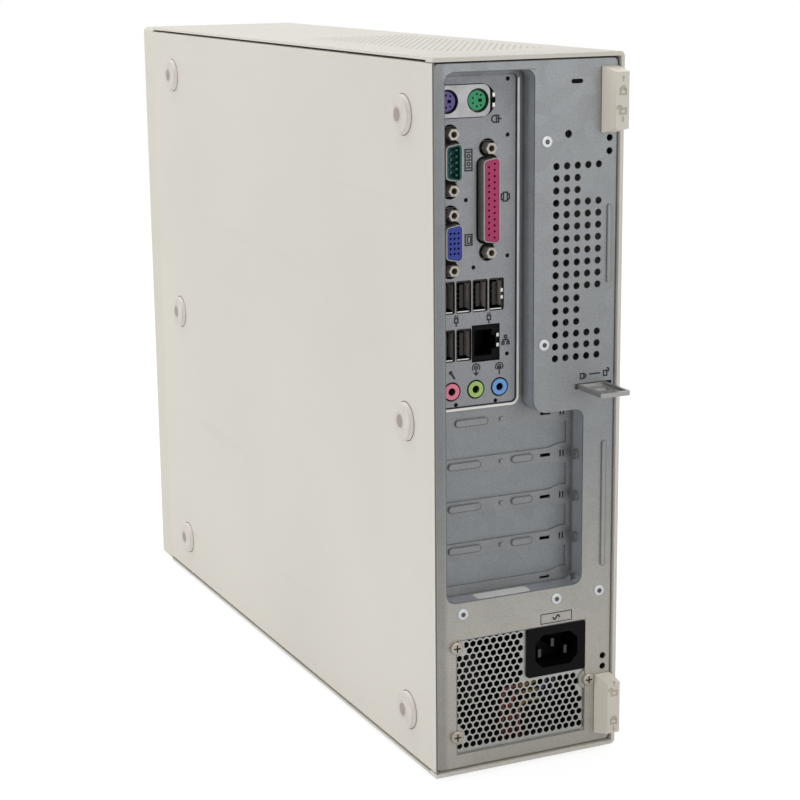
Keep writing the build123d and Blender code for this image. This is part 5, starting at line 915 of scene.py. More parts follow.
@dataclass
class Drawing:
    """Flat printed or raised marks on a plane that faces the rear."""

    depth: float
    thickness: float = 0.06 * MM
    turned: bool = False
    scale: float = 1.0
    arc_steps: int = 8
    ring_steps: int = 14
    layer: float = 0.003 * MM
    layers: int = 16
    count: int = 0
    place: Point = (0.0, 0.0)
    shape: bmesh.types.BMesh = field(default_factory=bmesh.new)

    def at(self, x: float, z: float) -> "Drawing":
        """Move the pen to a place given in millimetres, keeping the plane."""
        self.place = (x * MM, z * MM)
        return self

    def polygon(self, points: Sequence[Point]) -> None:
        """Add a filled outline, a layer higher or lower than the last so that faces never coincide.

        Args:
            points: Its corners to the right and up, in millimetres, seen from the rear.
        """
        x, z = self.place
        top = self.depth + self.thickness + self.layer * (self.count % self.layers)
        self.count += 1
        points = [(a * self.scale, b * self.scale) for a, b in points]
        if self.turned:
            points = [(b, -a) for a, b in points]
        front, back = [[self.shape.verts.new((x - a * MM, level, z + b * MM)) for a, b in points]
                       for level in (top, self.depth)]
        self.shape.faces.new(front)
        self.shape.faces.new(list(reversed(back)))
        for index in range(len(points)):
            after = (index + 1) % len(points)
            self.shape.faces.new((front[index], back[index], back[after], front[after]))

    def line(self, points: Sequence[Point], width: float) -> None:
        """Add a line of one width through some points.

        Args:
            points: The points, in millimetres.
            width: The line's width, in millimetres.
        """
        for start, end in zip(points, points[1:]):
            along = Vector((end[0] - start[0], end[1] - start[1])).normalized() * width / 2
            side = Vector((-along.y, along.x))
            low, high = Vector(start) - along, Vector(end) + along
            corners = (low - side, high - side, high + side, low + side)
            self.polygon([tuple(corner) for corner in corners])

    def outline(self, centre: Point, size: Pair, width: float) -> None:
        """Add an open rectangle.

        Args:
            centre: Its centre, in millimetres.
            size: Its width and height, in millimetres.
            width: The line's width, in millimetres.
        """
        a, b = size[0] / 2, size[1] / 2
        corners = [(-a, -b), (a, -b), (a, b), (-a, b), (-a, -b)]
        self.line([(centre[0] + p, centre[1] + q) for p, q in corners], width)

    def capsule(self, length: float, width: float, upright: bool, stroke: float) -> None:
        """Add the outline of a bar with round ends around the pen's place.

        Args:
            length: The bar's length, in millimetres.
            width: The bar's width, in millimetres.
            upright: Whether it stands instead of lying.
            stroke: The line's width, in millimetres.
        """
        radius, reach = width / 2, (length - width) / 2
        points = []
        for shift, first in ((reach, -0.25), (-reach, 0.25)):
            for step in range(self.arc_steps + 1):
                turn = math.tau * (first + step / (2 * self.arc_steps))
                points.append((shift + radius * math.cos(turn), radius * math.sin(turn)))
        self.line([(-b, a) if upright else (a, b) for a, b in points + points[:1]], stroke)

    def disc(self, centre: Point, radius: float) -> None:
        """Add a filled circle.

        Args:
            centre: Its centre, in millimetres.
            radius: Its radius, in millimetres.
        """
        turns = [math.tau * step / self.ring_steps for step in range(self.ring_steps)]
        self.polygon([(centre[0] + radius * math.cos(turn), centre[1] + radius * math.sin(turn))
                      for turn in turns])

    def ring(self, centre: Point, radius: float, width: float,
             first: float = 0.0, last: float = 1.0) -> None:
        """Add a circle's line, or the part of it between two shares of a turn.

        Args:
            centre: The circle's centre, in millimetres.
            radius: Its radius, in millimetres.
            width: The line's width, in millimetres.
            first: Where the line starts, as a share of a turn from the right-hand side on.
            last: Where it ends.
        """
        turns = [math.tau * (first + (last - first) * step / self.ring_steps)
                 for step in range(self.ring_steps + 1)]
        self.line([(centre[0] + radius * math.cos(turn), centre[1] + radius * math.sin(turn))
                   for turn in turns], width)

    def marks(self, marks: MarkPlaces) -> "Drawing":
        """Draw pictograms at their places.

        Args:
            marks: The pictograms with their places across and up, in millimetres.

        Returns:
            The drawing.
        """
        pictograms = Pictograms(self)
        for mark, x, z in marks:
            pictograms.draw(mark, x, z)
        return self

    def piece(self, name: str, finish: Finish, slot: str, body: str = CHASSIS) -> None:
        """Put all that is drawn into the scene as one piece.

        Args:
            name: The piece's name.
            finish: Its finish.
            slot: A material slot's name; it is not used.
            body: The body it rides on.
        """
        link_piece(name, to_mesh(self.shape, name), finish, body)


@dataclass
class Pictograms:
    """Draws generic pictograms around the pen's place."""

    pen: Drawing
    stroke: float = 0.7
    fine: float = 0.55
    frame_line: float = 0.4
    wave_step: float = 0.35
    wave_height: float = 0.9

    def draw(self, mark: Mark, x: float, z: float) -> None:
        """Draw one pictogram.

        Args:
            mark: Which pictogram.
            x: Its place across, in millimetres.
            z: Its place up, in millimetres.
        """
        self.pen.at(x, z)
        {
            Mark.MOUSE: self.mouse, Mark.SERIAL: self.serial, Mark.PRINTER: self.printer,
            Mark.SCREEN: self.screen, Mark.PLUG: self.plug, Mark.NETWORK: self.network,
            Mark.MICROPHONE: self.microphone,
            Mark.SOUND_OUT: lambda: self.sound(-1), Mark.SOUND_IN: lambda: self.sound(1),
            Mark.LOCK: lambda: self.padlock(0.0), Mark.UNLOCK: lambda: self.padlock(-1.5),
            Mark.DIVIDER: self.divider, Mark.MAINS: self.mains,
            Mark.ARROW_UP: lambda: self.arrow(1), Mark.ARROW_DOWN: lambda: self.arrow(-1),
        }[mark]()

    def mouse(self) -> None:
        """A mouse lying on its side, with its cord to the right."""
        self.pen.ring((-0.6, 0), 1.5, self.stroke, 0.25, 0.75)
        self.pen.line([(-0.6, 1.5), (1.4, 1.5), (1.4, -1.5), (-0.6, -1.5)], self.stroke)
        self.pen.line([(0.3, 1.5), (0.3, -1.5)], self.stroke)
        self.pen.line([(0.3, 0), (2.5, 0)], self.stroke)

    def serial(self) -> None:
        """A frame with strokes and rings in turn."""
        self.pen.outline((0, 0), (3.4, 9.4), self.stroke)
        for rise in (-3.5, 0.0, 3.5):
            self.pen.line([(-0.8, rise), (0.8, rise)], self.stroke)
        for rise in (-1.75, 1.75):
            self.pen.ring((0, rise), 0.75, self.fine)

    def printer(self) -> None:
        """A printer on its side with a sheet in it."""
        self.pen.outline((0, 0), (2.0, 4.0), self.stroke)
        self.pen.line([(-1.0, 1.3), (-2.1, 1.3), (-2.1, -1.3), (-1.0, -1.3)], self.stroke)
        self.pen.line([(1.0, 1.5), (2.0, 1.0), (2.0, -1.0), (1.0, -1.5)], self.stroke)

    def screen(self) -> None:
        """A display on its side with its glass."""
        self.pen.outline((0, 0), (3.4, 4.8), self.stroke)
        self.pen.outline((0.2, 0), (1.6, 3.0), self.fine)

    def plug(self) -> None:
        """A plug with two prongs and its cord."""
        self.pen.outline((0, 0), (1.7, 1.9), self.stroke)
        for side in (-0.5, 0.5):
            self.pen.line([(side, 1.0), (side, 2.2)], self.fine)
        self.pen.line([(0, -1.0), (0, -2.4)], self.stroke)

    def network(self) -> None:
        """Three machines joined by a line."""
        for place in ((0, 1.5), (-1.3, -1.5), (1.3, -1.5)):
            self.pen.outline(place, (1.1, 1.1), self.stroke)
        self.pen.line([(0, 0.9), (0, 0)], self.stroke)
        self.pen.line([(-1.3, -0.9), (-1.3, 0), (1.3, 0), (1.3, -0.9)], self.stroke)

    def microphone(self) -> None:
        """A hand microphone held aslant."""
        self.pen.disc((-0.7, 0.9), 1.0)
        self.pen.line([(-0.2, 0.2), (1.1, -1.7)], 1.0)

    def sound(self, way: int) -> None:
        """Sound waves with an arrow.

        Args:
            way: 1 for an arrow that points up to the waves, -1 for one that points away.
        """
        for radius in (0.9, 1.9):
            self.pen.ring((0, 0.9), radius, self.fine, -0.08, 0.58)
        self.pen.line([(0, 0.9), (0, -2.4)], self.stroke)
        tip = 0.9 if way > 0 else -2.4
        self.pen.line([(-0.9, tip - way * 0.9), (0, tip), (0.9, tip - way * 0.9)], self.stroke)

    def padlock(self, swing: float) -> None:
        """A padlock.

        Args:
            swing: How far its shackle hangs to the side, in millimetres; 0 when it is shut.
        """
        self.pen.outline((0, -0.6), (2.4, 1.8), self.stroke)
        self.pen.ring((swing, 0.5), 0.8, self.stroke, 0.0, 0.5)
        self.pen.line([(swing + 0.8, 0.3), (swing + 0.8, 0.5)], self.stroke)

    def divider(self) -> None:
        """A plain upright line."""
        self.pen.line([(0, -2.6), (0, 2.6)], self.stroke)

    def mains(self) -> None:
        """A bare frame with the wave of alternating current."""
        self.pen.outline((0, 0), (16.7, 4.7), self.frame_line)
        wave = [(step * self.wave_step, self.wave_height * math.sin(math.tau * step / 10))
                for step in range(-5, 6)]
        self.pen.line(wave, self.stroke)

    def arrow(self, way: int) -> None:
        """A short filled arrow.

        Args:
            way: 1 for up, -1 for down.
        """
        self.pen.line([(0, -way * 0.9), (0, way * 0.1)], self.fine)
        self.pen.polygon([(-0.7 * way, 0), (0.7 * way, 0), (0, way)])


@dataclass(frozen=True)
class Lamp:
    """A square studio lamp: where it hangs, what it is aimed at, its width and its power."""

    name: str
    place: Triple
    aim: Triple
    size: float
    power: float

    def hang(self) -> None:
        """Put the lamp into the scene."""
        data = bpy.data.lights.new(self.name, "AREA")
        data.size = self.size
        data.energy = self.power
        lamp = bpy.data.objects.new(self.name, data)
        lamp.location = self.place
        way = Vector(self.aim) - Vector(self.place)
        lamp.rotation_euler = way.to_track_quat("-Z", "Y").to_euler()
        bpy.context.scene.collection.objects.link(lamp)


@dataclass
class Studio:
    """The white studio: floor, lamps, surroundings and the camera of the photograph."""

    camera_place: Triple = (0.42864, 0.96834, 0.38502)
    camera_turn: Tuple[float, float, float, float] = (0.173875, 0.132196, 0.608189, 0.76315)
    lens: float = 89.24
    sensor: float = 36.0
    nearest: float = 0.01
    floor_size: float = 6.0
    floor_tones: Pair = (0.87, 0.89)
    floor_roughness: float = 0.9
    floor_glow: float = 1.2
    floor_blend: float = 0.72
    world_light: float = 0.5
    lamps: Tuple[Lamp, ...] = (
        Lamp("top_lamp", (0.3, -0.5, 1.9), (0, -0.1, 0.3), 1.6, 16.5),
        Lamp("side_lamp", (1.9, -0.3, 0.55), (0, 0, 0.17), 1.4, 11.0),
        Lamp("rear_lamp", (-0.5, 1.9, 0.8), (0, 0.1, 0.17), 1.2, 6.0))

    def build(self) -> None:
        """Make everything that isn't part of the object."""
        self.place_camera()
        self.lay_floor()
        self.light_world()
        for lamp in self.lamps:
            lamp.hang()
        bpy.context.scene.view_settings.view_transform = "Standard"

    def place_camera(self) -> None:
        """Stand the camera where the photograph was taken."""
        data = bpy.data.cameras.new("studio_camera")
        data.lens = self.lens
        data.sensor_width = self.sensor
        data.clip_start = self.nearest
        camera = bpy.data.objects.new("studio_camera", data)
        camera.location = self.camera_place
        camera.rotation_mode = "QUATERNION"
        camera.rotation_quaternion = Quaternion(self.camera_turn)
        bpy.context.scene.collection.objects.link(camera)
        bpy.context.scene.camera = camera

    def lay_floor(self) -> None:
        """Lay a white floor that still takes the object's shadow."""
        half = self.floor_size / 2
        corners = [(-half, -half, 0), (half, -half, 0), (half, half, 0), (-half, half, 0)]
        mesh = bpy.data.meshes.new("studio_floor")
        mesh.from_pydata(corners, [], [(0, 1, 2, 3)])
        floor = bpy.data.objects.new("studio_floor", mesh)
        bpy.context.scene.collection.objects.link(floor)
        shader = Shader("studio_white_floor")
        grey = shader.ramp(shader.noise(3.0, 2.0), 0.3, 0.7, *self.floor_tones)
        shader.set(Base_Color=grey, Roughness=self.floor_roughness)
        seen = shader.node("ShaderNodeLightPath", {}, {}, "Is Camera Ray")
        glow = shader.node("ShaderNodeEmission", {}, {"Strength": self.floor_glow})
        surface = Value(shader, shader.surface.outputs[0])
        blend = shader.node("ShaderNodeMixShader", {},
                            {0: seen * self.floor_blend, 1: surface, 2: glow})
        shader.feed(shader.output.inputs[0], blend)
        mesh.materials.append(shader.material)

    def light_world(self) -> None:
        """White surroundings to the camera and in reflections, softer as light."""
        world = bpy.data.worlds.new("studio_world")
        world.use_nodes = True
        wiring = Wiring(world.node_tree)
        seen, glossy, through = [
            wiring.node("ShaderNodeLightPath", {}, {}, name)
            for name in ("Is Camera Ray", "Is Glossy Ray", "Is Transmission Ray")]
        for other in (glossy, through):
            seen = wiring.math("MAXIMUM", seen, other)
        strength = wiring.node("ShaderNodeMapRange", {},
                               {"Value": seen, "To Min": self.world_light, "To Max": 1.0})
        back = world.node_tree.nodes["Background"]
        wiring.feed(back.inputs["Strength"], strength)
        wiring.feed(back.inputs["Color"], (1.0, 1.0, 1.0))
        bpy.context.scene.world = world


@dataclass
class PaintedCase:
    """The painted base pan, the cover with its pierced top and the feet."""

    sheet: float = 1.2 * MM
    bend: float = 2.5 * MM
    hem: float = 2.0 * MM
    hem_depth: float = 7.0 * MM
    lip: float = 0.5 * MM
    lip_round: float = 0.3
    bend_steps: int = 6
    smooth_angle: float = 35.0
    pitch: float = 3.5 * MM
    row_gap: float = 3.03 * MM
    hole: float = 0.7 * MM
    rim_share: float = 0.33
    columns: int = 16
    rows: int = 53
    vent_aside: float = 53.8 * MM
    vent_ahead: float = 122.8 * MM
    foot_radius: float = 9.0 * MM
    foot_middle_share: float = 0.502
    hollow_radius: float = 4.5 * MM
    dimple_radius: float = 3.2 * MM
    dimple_shift: float = 1.5 * MM
    contact_shadow_margin: float = 0.5 * MM
    disc_sheet: float = 0.06 * MM
    edge_width: float = 0.9 * MM

    def build(self) -> None:
        """Dress the painted pieces and the feet, and make the cover anew with its fine holes."""
        dress(PAINT, "base_pan")
        self.mark_feet()
        self.line_edge()
        dress(RUBBER, "side_feet", "standing_feet")
        low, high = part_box("cover")
        centre = (high.x - self.vent_aside, high.y - self.vent_ahead)
        mesh = self.shell(low, high, centre)
        shell = link_piece("cover_shell", mesh, PAINT, "cover")
        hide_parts("cover")
        self.pierce(centre, high.z)

    def mark_feet(self) -> None:
        """Lay a slightly darker hollow and a dimple of painted shade on each side foot, and a
        painted contact shadow under it.
        """
        low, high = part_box("side_feet")
        heights = (low.z + self.foot_radius, high.z - self.foot_radius)
        middle = heights[0] + self.foot_middle_share * (heights[1] - heights[0])
        depths = (low.y + self.foot_radius, high.y - self.foot_radius)
        places = [(y, z) for y in depths for z in (heights[0], middle, heights[1])]
        tree = disc_tree()
        for name, x, shift, radius, finish in (
                ("foot_hollows", high.x, self.dimple_shift, self.hollow_radius, HOLLOW),
                # The dark dimple is painted shade in the foot's hole.
                ("foot_dimples", high.x + self.disc_sheet / 2, self.dimple_shift,
                 self.dimple_radius, DIMPLE),
                # A painted contact shadow round each foot's base.
                ("foot_seats", low.x, 0.0, self.foot_radius + self.contact_shadow_margin, DARK_SHADE_AND_CAPS)):
            tree.piece(name, [(x, y - shift, z) for y, z in places],
                       {"Radius": radius, "Sheet": self.disc_sheet}, finish, "foot_rubber")

    def line_edge(self) -> None:
        """Lay painted shade on the pan's cut rear edge, where it meets the rear panel."""
        low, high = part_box("base_pan")
        place = (high.x - self.edge_width / 2, high.y, (low.z + high.z) / 2)
        size = (self.edge_width, self.disc_sheet, high.z - low.z)
        strip_tree().piece("pan_edge", [place], {"Size": size}, DARK_SHADE_AND_CAPS, "dark_plastic")

    def span(self) -> Pair:
        """The pierced field's half width and half depth."""
        return (self.columns + 0.5) * self.pitch / 2, self.rows * self.row_gap / 2

    def path(self, low: Vector, high: Vector, centre: Point) -> List[Tuple[Vector, Vector]]:
        """The bent sheet's way from the top's free edge round to the bottom's.

        Args:
            low: The cover's lowest corner.
            high: The cover's highest corner.
            centre: The pierced field's centre.

        Returns:
            Points of the outer face across and up, each with the way into the sheet.
        """
        half = self.span()[0]
        way = [(Vector((x, high.z)), Vector((0, -1)))
               for x in (high.x, centre[0] + half, centre[0] - half)]
        for z, first in ((high.z - self.bend, 90), (low.z + self.bend, 180)):
            hub = Vector((low.x + self.bend, z))
            for step in range(self.bend_steps + 1):
                turn = math.radians(first + 90 / self.bend_steps * step)
                out = Vector((math.cos(turn), math.sin(turn)))
                way.append((hub + out * self.bend, -out))
        way.append((Vector((high.x, low.z)), Vector((0, 1))))
        return way

    def shell(self, low: Vector, high: Vector, centre: Point) -> bpy.types.Mesh:
        """Sweep the sheet's section along its bends and leave the pierced field open.

        Args:
            low: The cover's lowest corner.
            high: The cover's highest corner.
            centre: The pierced field's centre.

        Returns:
            The shell's mesh.
        """
        half = self.span()[1]
        ahead, behind = centre[1] - half, centre[1] + half
        rear, lip, hem, sheet = high.y, self.lip, self.hem, self.sheet
        rounding, hem_end = self.lip_round * lip, rear - self.hem_depth
        section = [
            (low.y, 0.0), (ahead, 0.0), (behind, 0.0), (rear - lip, 0.0),
            (rear - rounding, rounding), (rear, lip), (rear, hem), (hem_end, hem),
            (hem_end, sheet), (behind, sheet), (ahead, sheet), (low.y, sheet),
        ]
        # Where the section meets the field: outside ahead and behind, inside behind and ahead.
        outer, outer_end, inner, inner_end = 1, 2, 9, 10
        shape = bmesh.new()
        loops = []
        for place, inward in self.path(low, high, centre):
            corners = [(y, place + inward * inset) for y, inset in section]
            loops.append([shape.verts.new((spot.x, y, spot.y)) for y, spot in corners])
        count = len(section)
        for index, (here, there) in enumerate(zip(loops, loops[1:])):
            for start in range(count):
                if index == 1 and start in (outer, inner):
                    continue
                end = (start + 1) % count
                shape.faces.new((here[start], here[end], there[end], there[start]))
        near, far = loops[1], loops[2]
        for first, second in ((outer, inner_end), (outer_end, inner)):
            shape.faces.new((near[first], far[first], far[second], near[second]))
        for loop in (near, far):
            shape.faces.new((loop[outer], loop[outer_end], loop[inner], loop[inner_end]))
        for loop in (loops[0], loops[-1]):
            shape.faces.new(loop)
        mesh = to_mesh(shape, "cover_shell")
        mesh.shade_smooth()
        mesh.set_sharp_from_angle(angle=math.radians(self.smooth_angle))
        return mesh

    def tile(self) -> bpy.types.Object:
        """Make one flat tile of sheet with a round hole, closed on both faces.

        Returns:
            The tile, centred on the origin and not in the scene.
        """
        wide, deep, thick = self.pitch / 2, self.row_gap / 2, self.sheet / 2
        share = self.rim_share
        rim = [(-1, -1), (-share, -1), (share, -1), (1, -1), (1, -share), (1, share),
               (1, 1), (share, 1), (-share, 1), (-1, 1), (-1, share), (-1, -share)]
        shape = bmesh.new()
        rings = []
        turns = [math.atan2(b * deep, a * wide) for a, b in rim]
        bore = [(self.hole * math.cos(turn), self.hole * math.sin(turn)) for turn in turns]
        for level in (thick, -thick):
            rings.append([shape.verts.new((a * wide, b * deep, level)) for a, b in rim])
            rings.append([shape.verts.new((a, b, level)) for a, b in bore])
        for first, second in ((0, 1), (3, 2), (1, 3), (2, 0)):
            outer, inner = rings[first], rings[second]
            for index in range(len(rim)):
                after = (index + 1) % len(rim)
                shape.faces.new((outer[index], outer[after], inner[after], inner[index]))
        return bpy.data.objects.new("pierced_tile", to_mesh(shape, "pierced_tile"))

    def pierce(self, centre: Point, top: float) -> None:
        """Fill the cover's open field with pierced tiles.

        Args:
            centre: The field's centre across and along.
            top: The top face's height.
        """
        tile = self.tile()
        perforation_tree().piece("cover_perforation", [(0.0, 0.0, 0.0)], {
            "Columns": self.columns, "Rows": self.rows, "Pitch": self.pitch,
            "Row Gap": self.row_gap, "Sheet": self.sheet,
            "Centre": (*centre, top - self.sheet / 2), "Tile": tile}, PAINT, "body_paint", "cover")
        bpy.data.objects.remove(tile)


@dataclass
class RearPanel:
    """The plated rear panel, its recess, latches, tab and fasteners."""

    bead: float = 0.7 * MM
    floor_sheet: float = 1.0 * MM
    ledge_rise: float = 1.27 * MM
    label_size: Pair = (28.0 * MM, 7.0 * MM)
    label_place: Pair = (9.8 * MM, 184.4 * MM)
    label_corner: float = 1.2 * MM
    label_sheet: float = 0.15 * MM
    marks: MarkPlaces = ((Mark.MAINS, -17.1, 71.6),)
    tab_marks: MarkPlaces = (
        (Mark.LOCK, -30.4, 187.5), (Mark.DIVIDER, -36.6, 188.1), (Mark.UNLOCK, -42.8, 187.8))
    panel_beads: Tuple[Triple, ...] = ((-43.2, 248.8, 36.5), (-41.9, 124.6, 61.6))
    recess_beads: Tuple[Triple, ...] = (
        (22.2, 168.8, 17.0), (25.9, 148.5, 17.0), (25.9, 128.2, 17.0), (25.9, 107.9, 17.0),
        (-4.3, 148.5, 11.2), (-4.3, 128.2, 11.2), (-4.3, 107.9, 11.2))
    panel_bead_width: float = 2.4
    recess_bead_width: float = 3.6
    recess_bead_rise: float = 0.8 * MM
    bead_stroke: float = 0.4
    opening: Tuple[Point, ...] = (
        (4.1, 329.4), (-36.5, 329.4), (-39.7, 328.1), (-41.0, 324.9),
        (-41.0, 90.9), (-39.7, 87.7), (-36.5, 86.4), (26.3, 86.4))
    supply_opening: Tuple[Point, ...] = (
        (-35.9, 11.6), (-35.9, 68.0), (33.0, 68.0), (33.0, 11.6), (-35.9, 11.6))
    opening_stroke: float = 0.35
    bosses: Tuple[float, ...] = (87.54, 107.86, 128.18, 148.5)
    boss_depth: float = 182.8
    boss_middle: float = -30.09
    boss_radius: float = 2.46 * MM
    boss_sheet: float = 1.48 * MM
    screws: Tuple[Point, ...] = ((36.5, 65.0), (36.4, 20.9), (-34.4, 37.6))
    cross_length: float = 3.5
    cross_width: float = 0.75
    cross_depth: float = 1.1 * MM
    rivets: Tuple[Point, ...] = (
        (-10.2, 296.9), (-9.4, 204.1), (32.7, 80.7), (-17.0, 80.8), (-40.3, 81.5))
    rivet_ring: Pair = (0.95, 0.3)
    latch_mark_rise: float = 0.12 * MM
    latch_mark_scale: float = 1.25
    upper_marks: MarkPlaces = (
        (Mark.ARROW_UP, -44.0, 324.5), (Mark.LOCK, -44.0, 319.2), (Mark.UNLOCK, -44.0, 310.5),
        (Mark.ARROW_DOWN, -44.0, 306.0))
    lower_marks: MarkPlaces = (
        (Mark.ARROW_UP, -44.0, 37.0), (Mark.UNLOCK, -44.0, 32.6), (Mark.LOCK, -44.0, 18.1),
        (Mark.ARROW_DOWN, -44.0, 13.6))

    def build(self) -> None:
        """Dress the panel's pieces, print its marks, lay painted shade along its edges and lay the
        bare label.
        """
        dress(PANEL, "rear_panel")
        dress(RECESS, "port_recess")
        dress(BLANK, "slot_covers")
        dress(TAB_STEEL, "lock_tab")
        dress(LATCH, "upper_latch", "lower_latch")
        dress(RIVET, "panel_rivets")
        dress(REAR_SCREW, "rear_screws")
        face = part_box("rear_panel")[1].y - self.bead
        Drawing(face).marks(self.marks).piece("panel_marks", INK_AND_GROOVE_SHADE, "dark_plastic")
        pen = Drawing(face, turned=True).marks(self.tab_marks)
        pen.piece("tab_marks", INK_AND_GROOVE_SHADE, "dark_plastic")
        self.line_beads(face + self.bead)
        self.line_openings(face)
        self.cap_bosses()
        self.ring_rivets()
        self.fill_crosses()
        for latch, marks in (("upper_latch", self.upper_marks), ("lower_latch", self.lower_marks)):
            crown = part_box(latch)[1].y
            pen = Drawing(crown, self.latch_mark_rise, scale=self.latch_mark_scale).marks(marks)
            pen.piece(latch + "_marks", LATCH_LINE, "latch_plastic", latch)
        link_piece("recess_label", self.label(), PAPER)

    def line_beads(self, panel_top: float) -> None:
        """Paint shade along the pressed edges of the beads on the panel and in the recess.

        Args:
            panel_top: The depth of the panel beads' tops.
        """
        recess_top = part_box("port_recess")[0].y + self.floor_sheet + self.recess_bead_rise
        for name, depth, beads, width, upright, finish in (
                ("panel_bead_lines", panel_top, self.panel_beads, self.panel_bead_width, True,
                 FAINT_EDGE_SHADE),
                ("recess_bead_lines", recess_top, self.recess_beads, self.recess_bead_width, False,
                 DARK_SHADE_AND_CAPS)):
            pen, stroke = Drawing(depth), self.bead_stroke
            for x, z, length in beads:
                pen.at(x, z).capsule(length - stroke, width - stroke, upright, stroke)
            pen.piece(name, finish, "dark_plastic")

    def line_openings(self, face: float) -> None:
        """Lay painted shade along the cut edges of the panel's two openings.

        Args:
            face: The depth of the panel's face.
        """
        pen = Drawing(face)
        for points in (self.opening, self.supply_opening):
            pen.line(points, self.opening_stroke)
        pen.piece("opening_edges", DARK_SHADE_AND_CAPS, "dark_plastic")

    def cap_bosses(self) -> None:
        """Put a dull cap over each pressed boss on the recess's wall."""
        places = [(self.boss_middle * MM, self.boss_depth * MM, z * MM) for z in self.bosses]
        sizes = {"Radius": self.boss_radius, "Sheet": self.boss_sheet}
        disc_tree().piece("wall_boss_caps", places, sizes, DARK_SHADE_AND_CAPS, "dark_plastic")

    def ring_rivets(self) -> None:
        """Lay the dull core round each rivet's bore."""
        pen = Drawing(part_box("panel_rivets")[1].y)
        for x, z in self.rivets:
            pen.at(x, z).ring((0, 0), *self.rivet_ring)
        pen.piece("rivet_cores", RIVET_CORE, "fastener")

    def fill_crosses(self) -> None:
        """Lay painted shade in the bottom of the cross recess in each of the supply's screws."""
        pen = Drawing(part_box("rear_screws")[1].y - self.cross_depth)
        reach = (self.cross_length - self.cross_width) / 2
        for x, z in self.screws:
            pen.at(x, z).line([(-reach, 0), (reach, 0)], self.cross_width)
            pen.line([(0, -reach), (0, reach)], self.cross_width)
        pen.piece("screw_crosses", DARK, "fastener")

    def label(self) -> bpy.types.Mesh:
        """Lay a bare label with cut corners on the recess's lower ledge.

        Returns:
            The label's mesh.
        """
        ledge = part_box("port_recess")[0].z + self.ledge_rise
        (x, y), corner = self.label_place, self.label_corner
        wide, deep = self.label_size[0] / 2, self.label_size[1] / 2
        short, low = wide - corner, deep - corner
        outline = [(-short, -deep), (short, -deep), (wide, -low), (wide, low),
                   (short, deep), (-short, deep), (-wide, low), (-wide, -low)]
        shape = bmesh.new()
        face = shape.faces.new([shape.verts.new((x + a, y + b, ledge)) for a, b in outline])
        raised = bmesh.ops.extrude_face_region(shape, geom=[face], use_keep_orig=True)["geom"]
        bmesh.ops.translate(shape, vec=(0, 0, self.label_sheet),
                            verts=[item for item in raised if isinstance(item, bmesh.types.BMVert)])
        return to_mesh(shape, "recess_label")


